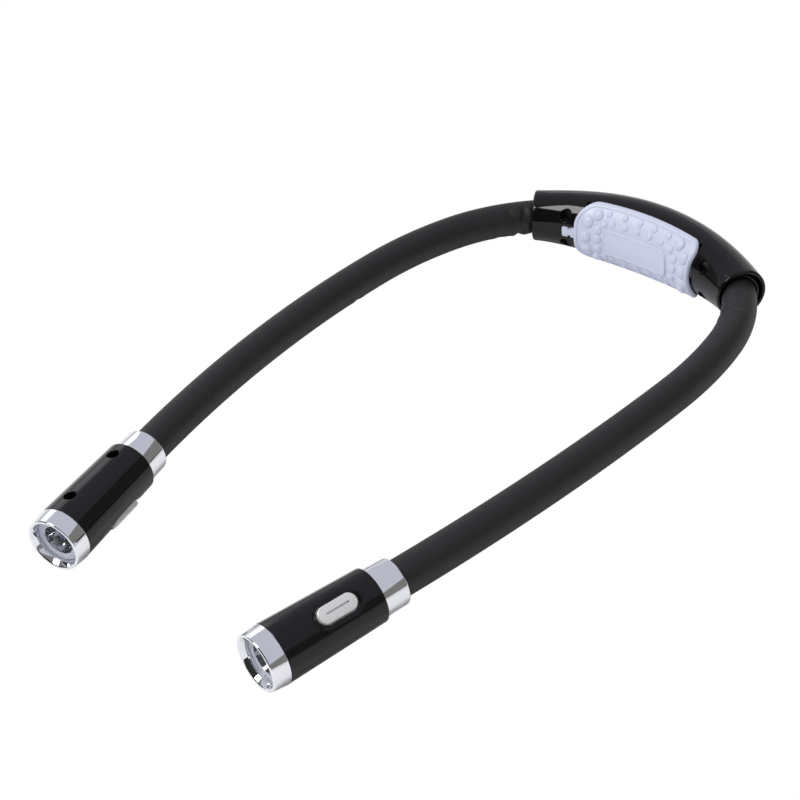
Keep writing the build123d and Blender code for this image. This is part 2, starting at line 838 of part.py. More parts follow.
def all_pieces():
    """Every piece under the name of its node."""
    pieces = {
        "neck_shell": neck_shell(),
        "back_shell": back_shell(),
        "battery_door": battery_door(),
        "soft_pad": soft_pad(),
        "upper_cell": cell(1),
        "lower_cell": cell(-1),
        "battery_tray": battery_tray(),
        "contact_plates": contact_plates(),
        "contact_springs": contact_springs(),
        "driver_board": driver_board(),
        "housing_screws": housing_screws(),
    }
    head_pieces = {
        "head_button_half": button_half(),
        "head_screw_half": screw_half(),
        "head_bezel": bezel(),
        "head_lens": lens(),
        "head_reflector": reflector(),
        "head_led": led(),
        "head_led_board": led_board(),
        "head_button": push_button(),
        "head_switch": switch(),
        "head_switch_board": switch_board(),
        "head_rear_ring": rear_ring(),
        "head_screws": head_screws(),
    }
    for name, side in (("left", 1), ("right", -1)):
        pieces[f"{name}_root_ferrule"] = root_ferrule(side)
        for count in range(neck_lengths + 1):
            stretch = f"{name}_neck_{count}" if count else f"{name}_neck_root"
            pieces[f"{stretch}_sleeve"] = neck_piece(side, count, sleeve_radius, core_radius + core_clearance)
            pieces[f"{stretch}_core"] = neck_piece(side, count, core_radius, core_bore_radius)
        for piece, solid in head_pieces.items():
            pieces[f"{name}_{piece}"] = head_plane(side).location * solid
    return pieces


def write_pieces():
    """One STEP file per piece."""
    os.makedirs("parts", exist_ok=True)
    for name, solid in all_pieces().items():
        export_step(solid, f"parts/{name}.step")


if __name__ == "__main__":
    write_pieces()
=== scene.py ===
import json
from math import asin, atan2, cos, exp, hypot, pi, radians, sin, sqrt

import bmesh
import bpy
from bpy.props import FloatProperty, FloatVectorProperty, IntProperty, PointerProperty
from mathutils import Matrix, Vector


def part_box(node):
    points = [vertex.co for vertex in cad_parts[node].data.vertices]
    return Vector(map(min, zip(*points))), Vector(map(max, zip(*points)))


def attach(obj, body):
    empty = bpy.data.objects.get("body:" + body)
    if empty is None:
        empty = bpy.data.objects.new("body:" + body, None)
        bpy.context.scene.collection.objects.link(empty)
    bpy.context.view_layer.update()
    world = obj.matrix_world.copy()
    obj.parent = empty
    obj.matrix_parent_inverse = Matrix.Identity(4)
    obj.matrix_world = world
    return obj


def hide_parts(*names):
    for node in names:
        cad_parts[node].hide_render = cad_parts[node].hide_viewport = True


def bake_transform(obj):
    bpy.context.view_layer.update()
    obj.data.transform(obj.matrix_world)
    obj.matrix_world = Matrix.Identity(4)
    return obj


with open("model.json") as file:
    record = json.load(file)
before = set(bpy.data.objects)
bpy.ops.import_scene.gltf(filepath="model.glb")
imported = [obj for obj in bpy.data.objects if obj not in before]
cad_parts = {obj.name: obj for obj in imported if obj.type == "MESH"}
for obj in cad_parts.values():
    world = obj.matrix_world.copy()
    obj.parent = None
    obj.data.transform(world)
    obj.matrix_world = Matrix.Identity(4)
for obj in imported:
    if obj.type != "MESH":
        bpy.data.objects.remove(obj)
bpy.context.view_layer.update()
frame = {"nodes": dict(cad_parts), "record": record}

bl_info = {
    "name": "Neck reading light",
    "version": (1, 0, 0),
    "blender": (4, 5, 0),
    "location": "3D View > Sidebar > Neck light",
    "description": "Builds the looks of a neck reading light around its packed frame",
    "category": "Add Mesh",
}

MM = 0.001
UP = Vector((0, 0, 1))
SIDES = (("left", 1), ("right", -1))
SHARP_ANGLE = radians(38)
MERGE_DISTANCE = 1e-7

# Battery housing
HOUSING_BEND = 95 * MM
HALF_ANGLE = 51.8 * MM / HOUSING_BEND
FRONT_DEPTH = 11.9 * MM
BACK_DEPTH = 11.7 * MM
MIDDLE_HEIGHT = 27.5 * MM
END_DEPTH = 19.7 * MM
END_HEIGHT = 19.9 * MM
SWELL_POWER = 1.5
WALL = 1.7 * MM
LIP_TURNS = (15, 30, 45, 60, 75, 86)
SEAM_SETBACK = 1 * MM
SEAM_CHAMFER = 0.12 * MM
MIDDLE_Z = MIDDLE_HEIGHT / 2
BEND_CENTRE_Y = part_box("back_shell")[1].y - HOUSING_BEND - BACK_DEPTH
SCREW_SPREAD = 65.2 * MM
SCREW_RISE = 12.2 * MM
SCREW_RADIUS = 1.85 * MM
RECESS_RADIUS = 2.2 * MM
RECESS_DEPTH = 5.4 * MM
RECESS_CUT = 1.2 * MM
BOSS_WALL = 1.05 * MM
BOSS_FLOOR = 1.5 * MM
DOOR_GAP = 0.4 * MM
DOOR_CUT = (6 * MM, 4 * MM)
LATCH_SLOT = 2.5 * MM

# Pad on the battery door
PAD_LEFT = 27.6 * MM
PAD_RIGHT = 26.2 * MM
PAD_OVERLAP = 1.4 * MM
PAD_LIFT = 0.3 * MM
PAD_EDGE = 1.9 * MM
PAD_REACH = 13.3 * MM
PAD_HALF_HEIGHT = 13 * MM
PAD_END_SHARE = 0.965
PAD_ARCH = 0.095
PAD_CORNERS = (8.5 * MM, 4 * MM)
PANEL_LENGTH = 30.4 * MM
PANEL_HEIGHT = 10.5 * MM
PANEL_CORNER = 3.2 * MM
PANEL_SHIFT = 0.5 * MM
PLATE_INSET = 0.8 * MM
BUMP_SINK = 0.1 * MM

# Flexible necks
SLEEVE_RADIUS = 6.5 * MM
SLEEVE_TAIL = 7.5 * MM
SLEEVE_STEP = 0.6 * MM
MOUTH_OFFSET = 1.2 * MM
MOUTH_HEADING = radians(90 - 20.5) - HALF_ANGLE
NECK_BENDS = ((85 * MM, radians(24.5)), (170 * MM, radians(13)), (636 * MM, radians(12)))
ROOT_BEND = 50 * MM
ROOT_DEPTH = 7 * MM
FIRST_JOINT = 9 * MM
JOINT_REACH = 20 * MM
NECK_LENGTHS = 4
NECK_LENGTH = sum(radius * turn for radius, turn in NECK_BENDS)
JOINT_STEP = (NECK_LENGTH - FIRST_JOINT) / NECK_LENGTHS

# Lamp heads, measured from the front rim backward
BEZEL_LENGTH = 6.3 * MM
BEZEL_REAR_RADIUS = 10.6 * MM
BODY_LENGTH = 38.2 * MM
BODY_END = BEZEL_LENGTH + BODY_LENGTH
BODY_FRONT_RADIUS = 10.5 * MM
BODY_REAR_RADIUS = 9.6 * MM
BODY_WALL = 1.3 * MM
BODY_EDGE = 0.3 * MM
BODY_SEAM = 0.02 * MM
BODY_CUT = 1.5 * MM
RING_LENGTH = 9.5 * MM
HEAD_LENGTH = BODY_END + RING_LENGTH
HEAD_SCREWS = (14.4 * MM, 38.5 * MM)
HEAD_SCREW_FLOOR = 4.6 * MM
HEAD_SCREW_RADIUS = 1.8 * MM
HEAD_BOSS_WIDTH = 6 * MM
HEAD_BOSS_FLOOR = 3.2 * MM
HEAD_ROLLS = {1: radians(20.4), -1: radians(-81.6)}
DROOP = asin(MIDDLE_Z / hypot(HEAD_LENGTH - BEZEL_LENGTH, BEZEL_REAR_RADIUS)) - atan2(
    BEZEL_REAR_RADIUS, HEAD_LENGTH - BEZEL_LENGTH)

# Push buttons
BUTTON_PLACE = 28.6 * MM
BUTTON_LENGTH = 14.4 * MM
BUTTON_WIDTH = 5.8 * MM
BUTTON_TOP = 10.875 * MM
BUTTON_TURN = radians(-36.6)
BUTTON_GAP = 0.4 * MM
BUTTON_SLOT_FLOOR = 6.5 * MM
BUTTON_SLOT_ROUND = 0.15 * MM
BUTTON_ROUND = 0.5 * MM
FLANGE_WIDTH = 0.6 * MM
FLANGE_BOTTOM = 6.75 * MM
FLANGE_TOP = 7.65 * MM
CROWN_DROP = 0.25 * MM
DIMPLE_MARGIN = 2.4 * MM
DIMPLE_DEPTH = 0.7 * MM


def linear(red, green, blue):
    """Scene colour for a colour as it is seen on a screen, 0 to 255."""
    def channel(value):
        value /= 255
        return value / 12.92 if value <= 0.04045 else ((value + 0.055) / 1.055) ** 2.4
    return channel(red), channel(green), channel(blue)


class NeckLightSizes(bpy.types.PropertyGroup):
    """Sizes that are set for the looks alone."""
    large_bump: FloatProperty(
        name="Large bump", description="Radius of the pad's large bumps", default=2.35 * MM, unit="LENGTH")
    medium_bump: FloatProperty(
        name="Medium bump", description="Radius of the pad's medium bumps", default=1.75 * MM, unit="LENGTH")
    small_bump: FloatProperty(
        name="Small bump", description="Radius of the pad's small bumps", default=1.4 * MM, unit="LENGTH")
    bump_rise: FloatProperty(
        name="Bump rise", description="Height of a bump as a share of its radius", default=0.52,
        subtype="FACTOR")
    edge_round: FloatProperty(
        name="Edge rounding", description="Rounding of the moulded edges", default=0.25 * MM, unit="LENGTH")
    fold_depth: FloatProperty(
        name="Fold depth", description="Depth of the sleeve's folds", default=0.35 * MM, unit="LENGTH")
    sleeve_sides: IntProperty(
        name="Sleeve sides", description="Sides of the sleeve's round section", default=72)


class NeckLightColours(bpy.types.PropertyGroup):
    """Colours of the light's finishes."""
    shell: FloatVectorProperty(
        name="Shell", description="Glossy black plastic", default=(0.004, 0.0036, 0.0045), subtype="COLOR")
    pad: FloatVectorProperty(
        name="Pad", description="Pale soft plastic", default=linear(205, 210, 230), subtype="COLOR")
    sleeve: FloatVectorProperty(
        name="Sleeve", description="Matte black rubber", default=(0.01, 0.01, 0.0105), subtype="COLOR")
    chrome: FloatVectorProperty(
        name="Chrome", description="Bright plated plastic", default=(0.86, 0.87, 0.9), subtype="COLOR")
    button: FloatVectorProperty(
        name="Button", description="Satin silver lacquer", default=(0.72, 0.72, 0.71), subtype="COLOR")


def sizes():
    return bpy.context.scene.neck_light_sizes


def colours():
    return bpy.context.scene.neck_light_colours


# Places
def section(share, side=FRONT_DEPTH, growth=0.0):
    """Half depth and half height of the housing; share is 0 in its middle and 1 or -1 at its ends."""
    swell = (1 - min(abs(share), 1) ** 2) ** SWELL_POWER
    deep = END_DEPTH / 2 + (side - END_DEPTH / 2) * swell + growth
    high = END_HEIGHT / 2 + (MIDDLE_HEIGHT - END_HEIGHT) / 2 * swell + growth
    return deep, high


def crescent(share, angle, growth=0.0):
    """Point on the housing's skin; angle 0 faces the neck and 90 degrees is the top."""
    deep, high = section(share, FRONT_DEPTH if cos(angle) > 0 else BACK_DEPTH, growth)
    turn = share * HALF_ANGLE
    reach = HOUSING_BEND - deep * cos(angle)
    return Vector((reach * sin(turn), BEND_CENTRE_Y + reach * cos(turn), MIDDLE_Z + high * sin(angle)))


def neck_face_y(x, z):
    """Y of the housing's skin on the neck's side."""
    reach = HOUSING_BEND - FRONT_DEPTH
    for _ in range(5):
        deep, high = section(asin(x / reach) / HALF_ANGLE)
        reach = HOUSING_BEND - deep * sqrt(max(1 - ((z - MIDDLE_Z) / high) ** 2, 0))
    return BEND_CENTRE_Y + sqrt(reach ** 2 - x ** 2)


def housing_share(u):
    """Share of the housing's half length at a place along its neck side."""
    return asin(u / (HOUSING_BEND - FRONT_DEPTH)) / HALF_ANGLE


def pad_arch(u):
    """Height share of the pad at a place along it: its long edges arch over the middle."""
    return PAD_END_SHARE + PAD_ARCH * (1 - (u / PAD_LEFT) ** 2)


def pad_place(u, v, growth):
    """Point over the housing's neck side, u along it and v over its middle, at a height over its skin."""
    share = housing_share(u)
    high = section(share, growth=PAD_EDGE)[1]
    return crescent(share, asin(v * pad_arch(u) / high), growth)


def bump_place(across, up, growth):
    """Point and outward direction on the pad's field for shares of its half length and half height."""
    u = (PAD_RIGHT - PAD_LEFT) / 2 + across * (PAD_RIGHT + PAD_LEFT) / 2
    share = housing_share(u)
    turn = share * HALF_ANGLE
    deep, high = section(share, growth=growth)
    lean = asin(up * PAD_HALF_HEIGHT * pad_arch(u) / high)
    level = cos(lean) / deep
    facing = Vector((-sin(turn) * level, -cos(turn) * level, sin(lean) / high)).normalized()
    return crescent(share, lean, growth), facing


def plan(travel):
    """Plan place and heading on the left neck, counted from the housing's mouth."""
    heading = MOUTH_HEADING
    mouth = HOUSING_BEND - MOUTH_OFFSET
    x = mouth * sin(HALF_ANGLE)
    y = BEND_CENTRE_Y + mouth * cos(HALF_ANGLE)
    bends = [(ROOT_BEND, travel)] if travel < 0 else []
    left_over = max(travel, 0)
    for radius, turn in NECK_BENDS:
        step = min(left_over, radius * turn)
        bends.append((radius, step))
        left_over -= step
    for radius, step in bends:
        after = heading - step / radius
        x += radius * (cos(after) - cos(heading))
        y -= radius * (sin(heading) - sin(after))
        heading = after
    flat = left_over * cos(DROOP)
    return x + flat * sin(heading), y - flat * cos(heading), heading


def pitch(travel):
    """Climb of the neck at a travel."""
    return DROOP * (1 - 2 * min(max(travel / NECK_LENGTH, 0), 1))


def neck_point(side, travel):
    """Point on a neck's centreline; side is 1 for left and -1 for right."""
    x, y, _ = plan(travel)
    inside = min(max(travel, 0), NECK_LENGTH)
    arch = NECK_LENGTH / (2 * DROOP) * (cos(pitch(inside)) - cos(DROOP))
    past = min(travel, 0) - max(travel - NECK_LENGTH, 0)
    return Vector((side * x, y, MIDDLE_Z + arch + past * sin(DROOP)))


def neck_direction(side, travel):
    """Unit vector along a neck, away from the housing."""
    heading = plan(travel)[2]
    climb = pitch(travel)
    return Vector((side * sin(heading) * cos(climb), -cos(heading) * cos(climb), sin(climb)))


def head_frame(side):
    """Matrix of a head: Z backward from the front rim's centre, X away from the screws."""
    back = -neck_direction(side, NECK_LENGTH)
    level = back.cross(UP).normalized()
    roll = HEAD_ROLLS[side]
    across = level * cos(roll) + level.cross(back) * sin(roll)
    matrix = Matrix((across, back.cross(across), back)).transposed().to_4x4()
    matrix.translation = neck_point(side, NECK_LENGTH + HEAD_LENGTH)
    return matrix


def button_frame(side):
    """Matrix of a head turned so that X points to the button."""
    return head_frame(side) @ Matrix.Rotation(BUTTON_TURN, 4, "Z")


def head_radius(place):
    """Outer radius of the black body at a place behind the rim."""
    return BODY_FRONT_RADIUS + (BODY_REAR_RADIUS - BODY_FRONT_RADIUS) * (place - BEZEL_LENGTH) / BODY_LENGTH


# Meshes
def add(name, mesh, material=None):
    """A new object with that mesh in the scene."""
    obj = bpy.data.objects.new(name, mesh)
    bpy.context.scene.collection.objects.link(obj)
    if material:
        mesh.materials.clear()
        mesh.materials.append(material)
    return obj


def smooth(mesh):
    """Shades the mesh smooth, but for the edges where its faces meet sharply."""
    mesh.shade_smooth()
    mesh.set_sharp_from_angle(angle=SHARP_ANGLE)


def build(name, points, faces, material=None):
    """Object from points and faces, with its doubles merged and its faces turned outward."""
    mesh = bpy.data.meshes.new(name)
    mesh.from_pydata([tuple(point) for point in points], [], faces)
    shape = bmesh.new()
    shape.from_mesh(mesh)
    bmesh.ops.remove_doubles(shape, verts=shape.verts, dist=MERGE_DISTANCE)
    bmesh.ops.recalc_face_normals(shape, faces=shape.faces)
    shape.to_mesh(mesh)
    shape.free()
    smooth(mesh)
    return add(name, mesh, material)


def skin(name, rings, material=None, matrix=None):
    """Object from closed rings of equal length, its two ends closed."""
    count = len(rings[0])
    points = [matrix @ Vector(point) if matrix else point for ring in rings for point in ring]
    faces = []
    for row in range(len(rings) - 1):
        low, high = row * count, (row + 1) * count
        for column in range(count):
            after = (column + 1) % count
            faces.append((low + column, low + after, high + after, high + column))
    faces += [tuple(range(count)), tuple(range(len(points) - count, len(points)))]
    return build(name, points, faces, material)


def rounded(corners, steps=5):
    """Closed (radius, place) outline from (radius, place, rounding) corners."""
    outline = []
    for index, (radius, place, rounding) in enumerate(corners):
        here = Vector((radius, place))
        if not rounding:
            outline.append(here)
            continue
        before = Vector(corners[index - 1][:2]) - here
        after = Vector(corners[(index + 1) % len(corners)][:2]) - here
        start = here + before.normalized() * rounding
        end = here + after.normalized() * rounding
        for step in range(steps + 1):
            part = step / steps
            outline.append(start * (1 - part) ** 2 + here * 2 * part * (1 - part) + end * part ** 2)
    return outline


def lathe(name, outline, material, matrix, segments):
    """Solid of revolution about the matrix's Z from a closed outline of (radius, place) in mm."""
    count = len(outline)
    points, faces = [], []
    for segment in range(segments):
        turn = 2 * pi * segment / segments
        points += [matrix @ (Vector((radius * cos(turn), radius * sin(turn), place)) * MM)
                   for radius, place in outline]
        low, high = segment * count, (segment + 1) % segments * count
        for column in range(count):
            after = (column + 1) % count
            if outline[column][0] or outline[after][0]:
                faces.append((low + column, low + after, high + after, high + column))
    return build(name, points, faces, material)


def half_shell(name, surface, stations, outer, inner, material):
    """Closed half of a hollow body. A station is (place, drop of the outer skin, lift of the inner one)."""
    rings = []
    for place, drop, lift in stations:
        ring = [surface(place, angle, growth - drop) for angle, growth in outer]
        ring += [surface(place, angle, growth + lift) for angle, growth in inner]
        rings.append(ring)
    return skin(name, rings, material)


def settle(obj):
    """Turns the evaluated object into a plain mesh and drops its modifiers."""
    graph = bpy.context.evaluated_depsgraph_get()
    mesh = bpy.data.meshes.new_from_object(obj.evaluated_get(graph))
    obj.modifiers.clear()
    obj.data = mesh


def carve(obj, tools, operation="DIFFERENCE"):
    """Cuts the tools out of obj, or adds them to it, and removes them."""
    for tool in tools:
        modifier = obj.modifiers.new("carve", "BOOLEAN")
        modifier.object = tool
        modifier.operation = operation
        modifier.solver = "EXACT"
    settle(obj)
    for tool in tools:
        bpy.data.objects.remove(tool)
    smooth(obj.data)


def box_tool(low, high):
    """Box between two corners, as a cutter."""
    points = [(x, y, z) for x in (low[0], high[0]) for y in (low[1], high[1]) for z in (low[2], high[2])]
    faces = ((0, 1, 3, 2), (4, 6, 7, 5), (0, 4, 5, 1), (2, 3, 7, 6), (0, 2, 6, 4), (1, 5, 7, 3))
    return build("tool", points, faces)


def hole_steps(rounding, outside, steps=4):
    """(depth, spread) pairs down a hole from outside the skin, over its rounded edge."""
    turns = [pi / 2 * (1 - step / steps) for step in range(steps + 1)]
    return [(-outside, rounding)] + [(rounding * (1 - sin(turn)), rounding * (1 - cos(turn))) for turn in turns]


def circle(x, z, radius, count):
    """Round outline of (x, z) points."""
    turns = [2 * pi * index / count for index in range(count)]
    return [(x + radius * cos(turn), z + radius * sin(turn)) for turn in turns]


def capsule(length, width, spread, count):
    """Round-ended outline of (along, across) points about its own middle."""
    half = (length - width) / 2
    radius = width / 2 + spread
    points = []
    for step in range(count):
        turn = 2 * pi * (step + 0.5) / count
        shift = half if cos(turn) > 0 else -half
        points.append((shift + radius * cos(turn), radius * sin(turn)))
    return points


def between(first, second, part):
    """Outline part of the way from one outline to another."""
    return [(a[0] + (b[0] - a[0]) * part, a[1] + (b[1] - a[1]) * part) for a, b in zip(first, second)]


# Node trees
def put(tree, kind, inputs=None, **settings):
    """A new node. An input is a value, a socket, a node for its first socket, or a list of these."""
    node = tree.nodes.new(kind)
    for name, value in settings.items():
        setattr(node, name, value)
    for key, value in (inputs or {}).items():
        for source in value if isinstance(value, list) else [value]:
            if isinstance(source, bpy.types.Node):
                source = source.outputs[0]
            if isinstance(source, bpy.types.NodeSocket):
                tree.links.new(source, node.inputs[key])
            else:
                node.inputs[key].default_value = source
    return node


def new_tree(name, tree_kind, inputs, outputs):
    """A new node tree with sockets of (name, kind, value), and its two end nodes."""
    tree = bpy.data.node_groups.new(name, tree_kind)
    for way, sockets in (("INPUT", inputs), ("OUTPUT", outputs)):
        for socket, kind, *value in sockets:
            made = tree.interface.new_socket(socket, in_out=way, socket_type=f"NodeSocket{kind}")
            if value:
                made.default_value = value[0]
    return tree, tree.nodes.new("NodeGroupInput"), tree.nodes.new("NodeGroupOutput")


def once(make):
    """The node tree that is named like its maker, made at its first use."""
    return bpy.data.node_groups.get(make.__name__) or make()


# Finishes
GRAIN_HEIGHT = 0.1 * MM

# A colour and the one it drifts to, or a colour setting and the factor it drifts by; the roughness range;
# the scale and strength of the grain; fixed shader inputs; the share and scale of the slow waviness
FINISHES = {
    "gloss_black": ("shell", 1.3, (0.06, 0.1), 2500, 0.1, {"Specular IOR Level": 0.32}, 0.8, 90),
    "pale_plastic": ("pad", 0.97, (0.3, 0.38), 5000, 0.1),
    "sleeve_rubber": ("sleeve", 1.25, (0.48, 0.6), 3500, 0.35, {"Specular IOR Level": 0.4}),
    "bright_chrome": ("chrome", 0.98, (0.03, 0.06), 1500, 0.03, {"Metallic": 1.0}),
    "satin_silver": ("button", 0.95, (0.3, 0.38), 6000, 0.2, {"Metallic": 0.35}),
    "zinc_steel": ((0.4, 0.4, 0.4), (0.32, 0.32, 0.33), (0.3, 0.45), 3000, 0.3, {"Metallic": 1.0}),
    "dark_steel": ((0.06, 0.06, 0.06), (0.045, 0.045, 0.045), (0.35, 0.5), 3000, 0.3, {"Metallic": 1.0}),
    # The bowl's mirror colour is set far below the chrome's: painted shade of the deep bowl.
    "bowl_mirror": ((0.27, 0.28, 0.32), (0.24, 0.25, 0.29), (0.04, 0.1), 1500, 0.0, {"Metallic": 1.0}),
    # The dome's blue colour paints the blue reflection on the lamp.
    "lamp_glass": ((0.08, 0.14, 0.5), (0.07, 0.12, 0.44), (0.0, 0.03), 500, 0.0, {"Alpha": 0.4, "IOR": 1.5}),
    "dark_plastic": ((0.02, 0.02, 0.02), (0.026, 0.026, 0.026), (0.45, 0.6), 3000, 0.3),
    "nickel": ((0.62, 0.6, 0.56), (0.55, 0.53, 0.5), (0.18, 0.3), 2500, 0.15, {"Metallic": 1.0}),
    "board_green": ((0.02, 0.13, 0.05), (0.015, 0.1, 0.04), (0.3, 0.4), 2500, 0.2),
    "cell_wrap": ((0.05, 0.09, 0.16), (0.045, 0.08, 0.14), (0.2, 0.3), 900, 0.1),
    "collar_white": (linear(214, 218, 230), linear(205, 209, 222), (0.5, 0.6), 3000, 0.0,
                     {"Specular IOR Level": 0.2}),
    "phosphor": ((0.6, 0.36, 0.14), (0.5, 0.28, 0.1), (0.4, 0.5), 4000, 0.3),
    "clear_plastic": ((0.3, 0.32, 0.36), (0.28, 0.3, 0.34), (0.0, 0.02), 500, 0.0,
                      {"Alpha": 0.07, "IOR": 1.49}),
}

SLOT_FINISHES = {
    "shell": "gloss_black", "head": "gloss_black", "pad": "pale_plastic", "door": "pale_plastic",
    "sleeve": "sleeve_rubber", "core": "zinc_steel", "ferrule": "dark_steel", "screw": "dark_steel",
    "chrome": "bright_chrome", "reflector": "bright_chrome", "lens": "clear_plastic", "led": "collar_white",
    "button": "satin_silver", "switch": "dark_plastic", "tray": "dark_plastic", "cell": "cell_wrap",
    "contact": "nickel", "board": "board_green",
}


def moulded_grain():
    """Fine moulded grain over a slow waviness, as a height."""
    group, start, end = new_tree("moulded_grain", "ShaderNodeTree", (
        ("Grain Scale", "Float", 4000), ("Wave Scale", "Float", 120), ("Wave Share", "Float", 0.5)),
        (("Height", "Float"),))
    where = put(group, "ShaderNodeTexCoord").outputs["Object"]
    grain, wave = (
        put(group, "ShaderNodeTexNoise", {"Vector": where, "Scale": start.outputs[scale], "Detail": 3})
        for scale in ("Grain Scale", "Wave Scale"))
    mix = put(group, "ShaderNodeMix", {0: start.outputs["Wave Share"], 2: grain, 3: wave})
    group.links.new(mix.outputs[0], end.inputs["Height"])
    return group


def slow_drift():
    """A slow drift of colour and roughness, as handling and moulding leave it."""
    group, start, end = new_tree("slow_drift", "ShaderNodeTree", (
        ("Colour", "Color"), ("Other Colour", "Color"), ("Scale", "Float", 60),
        ("Low Roughness", "Float", 0.1), ("High Roughness", "Float", 0.2)),
        (("Colour", "Color"), ("Roughness", "Float")))
    where = put(group, "ShaderNodeTexCoord").outputs["Object"]
    noise = put(group, "ShaderNodeTexNoise", {"Vector": where, "Scale": start.outputs["Scale"], "Detail": 4})
    mix = put(group, "ShaderNodeMix", {
        0: noise, 6: start.outputs["Colour"], 7: start.outputs["Other Colour"]}, data_type="RGBA")
    rough = put(group, "ShaderNodeMapRange", {
        "Value": noise, "To Min": start.outputs["Low Roughness"], "To Max": start.outputs["High Roughness"]})
    group.links.new(mix.outputs[2], end.inputs["Colour"])
    group.links.new(rough.outputs[0], end.inputs["Roughness"])
    return group


def make_finish(name, colour, other, roughness, grain, strength, fixed=None, wave_share=0.5, wave_scale=120):
    """A material: a colour that drifts, a roughness range and a grain."""
    if isinstance(colour, str):
        colour = tuple(getattr(colours(), colour))
        other = tuple(channel * other for channel in colour)
    material = bpy.data.materials.new(name)
    material.use_nodes = True
    tree = material.node_tree
    shader = tree.nodes["Principled BSDF"]
    for socket, value in (fixed or {}).items():
        shader.inputs[socket].default_value = value
    drift = put(tree, "ShaderNodeGroup", {
        "Colour": (*colour, 1), "Other Colour": (*other, 1),
        "Low Roughness": roughness[0], "High Roughness": roughness[1]}, node_tree=once(slow_drift))
    height = put(tree, "ShaderNodeGroup", {
        "Grain Scale": grain, "Wave Scale": wave_scale, "Wave Share": wave_share},
        node_tree=once(moulded_grain))
    bump = put(tree, "ShaderNodeBump", {"Strength": strength, "Distance": GRAIN_HEIGHT, "Height": height})
    tree.links.new(drift.outputs["Colour"], shader.inputs["Base Color"])
    tree.links.new(drift.outputs["Roughness"], shader.inputs["Roughness"])
    tree.links.new(bump.outputs["Normal"], shader.inputs["Normal"])
    return material


def finish(name):
    """The material of that name, made at its first use."""
    return bpy.data.materials.get(name) or make_finish(name, *FINISHES[name])


# Geometry nodes
def geometry_tree(name, inputs):
    """A new geometry node tree that takes a mesh, those inputs and a material."""
    shape = ("Geometry", "Geometry")
    return new_tree(name, "GeometryNodeTree", (shape, *inputs, ("Material", "Material")), (shape,))


def close_tree(tree, start, end, made):
    """Realize Instances, Set Shade Smooth and Set Material before the output."""
    real = put(tree, "GeometryNodeRealizeInstances", {"Geometry": made})
    shade = put(tree, "GeometryNodeSetShadeSmooth", {"Geometry": real})
    paint = put(tree, "GeometryNodeSetMaterial", {"Geometry": shade, "Material": start.outputs["Material"]})
    tree.links.new(paint.outputs["Geometry"], end.inputs["Geometry"])
    return tree


def swept_tube():
    """A round tube swept along the object's own line."""
    tree, start, end = geometry_tree("swept_tube", (("Radius", "Float", SLEEVE_RADIUS), ("Sides", "Int", 48)))
    line = put(tree, "GeometryNodeMeshToCurve", {"Mesh": start.outputs["Geometry"]})
    plain = put(tree, "GeometryNodeSetCurveRadius", {"Curve": line, "Radius": 1.0})
    ring = put(tree, "GeometryNodeCurvePrimitiveCircle", {
        "Radius": start.outputs["Radius"], "Resolution": start.outputs["Sides"]})
    sweep = put(tree, "GeometryNodeCurveToMesh", {"Curve": plain, "Profile Curve": ring, "Fill Caps": True})
    return close_tree(tree, start, end, sweep)


def scatter_tree(name, inputs, shape):
    """Shapes on the object's points, turned to its facing attribute and scaled by its size attribute."""
    found = bpy.data.node_groups.get(name)
    if found:
        return found
    tree, start, end = geometry_tree(name, inputs)
    facing, size = (put(tree, "GeometryNodeInputNamedAttribute", {"Name": key}, data_type=kind)
                    for key, kind in (("facing", "FLOAT_VECTOR"), ("size", "FLOAT")))
    turn = put(tree, "FunctionNodeAlignRotationToVector", {"Vector": facing}, axis="Z")
    points = put(tree, "GeometryNodeMeshToPoints", {"Mesh": start.outputs["Geometry"]})
    spread = put(tree, "GeometryNodeInstanceOnPoints", {
        "Points": points, "Rotation": turn, "Scale": size, "Instance": shape(tree, start)})
    return close_tree(tree, start, end, spread)


def dome_shape(tree, start):
    """A flattened ball of radius 1."""
    ball = put(tree, "GeometryNodeMeshUVSphere", {"Segments": 32, "Rings": 20, "Radius": 1.0})
    scale = put(tree, "ShaderNodeCombineXYZ", {"X": 1.0, "Y": 1.0, "Z": start.outputs["Rise"]})
    return put(tree, "GeometryNodeTransform", {"Geometry": ball, "Scale": scale})


def screw_shape(tree, _start):
    """A pan head of radius 1 with a crossed recess, its seat at the origin."""
    def lifted(shape, height, scale=(1, 1, 1)):
        return put(tree, "GeometryNodeTransform", {
            "Geometry": shape, "Translation": (0, 0, height), "Scale": scale})

    disc = put(tree, "GeometryNodeMeshCylinder", {"Vertices": 40, "Radius": 1.0, "Depth": 0.5})
    dome = put(tree, "GeometryNodeMeshUVSphere", {"Segments": 40, "Rings": 16, "Radius": 1.0})
    head = put(tree, "GeometryNodeMeshBoolean", {
        "Mesh 2": [lifted(disc, 0.25), lifted(dome, 0.45, (0.97, 0.97, 0.3))]}, operation="UNION")
    bars = [lifted(put(tree, "GeometryNodeMeshCube", {"Size": size}), 0.85)
            for size in ((1.15, 0.24, 1.0), (0.24, 1.15, 1.0))]
    return put(tree, "GeometryNodeMeshBoolean", {"Mesh 1": head, "Mesh 2": bars}, operation="DIFFERENCE")


def grow(name, points, edges, tree, values, facings=(), radii=()):
    """Object made by a node tree from points, settled into a plain mesh."""
    mesh = bpy.data.meshes.new(name)
    mesh.from_pydata([tuple(point) for point in points], edges, [])
    if radii:
        layer = mesh.attributes.new("facing", "FLOAT_VECTOR", "POINT")
        layer.data.foreach_set("vector", [number for facing in facings for number in facing])
        layer = mesh.attributes.new("size", "FLOAT", "POINT")
        layer.data.foreach_set("value", radii)
    obj = add(name, mesh)
    modifier = obj.modifiers.new("nodes", "NODES")
    modifier.node_group = tree
    for item in tree.interface.items_tree:
        if item.in_out == "INPUT" and item.name in values:
            modifier[item.identifier] = values[item.name]
    settle(obj)
    if not obj.data.polygons:
        raise RuntimeError(f"{name} came out empty")
    return obj


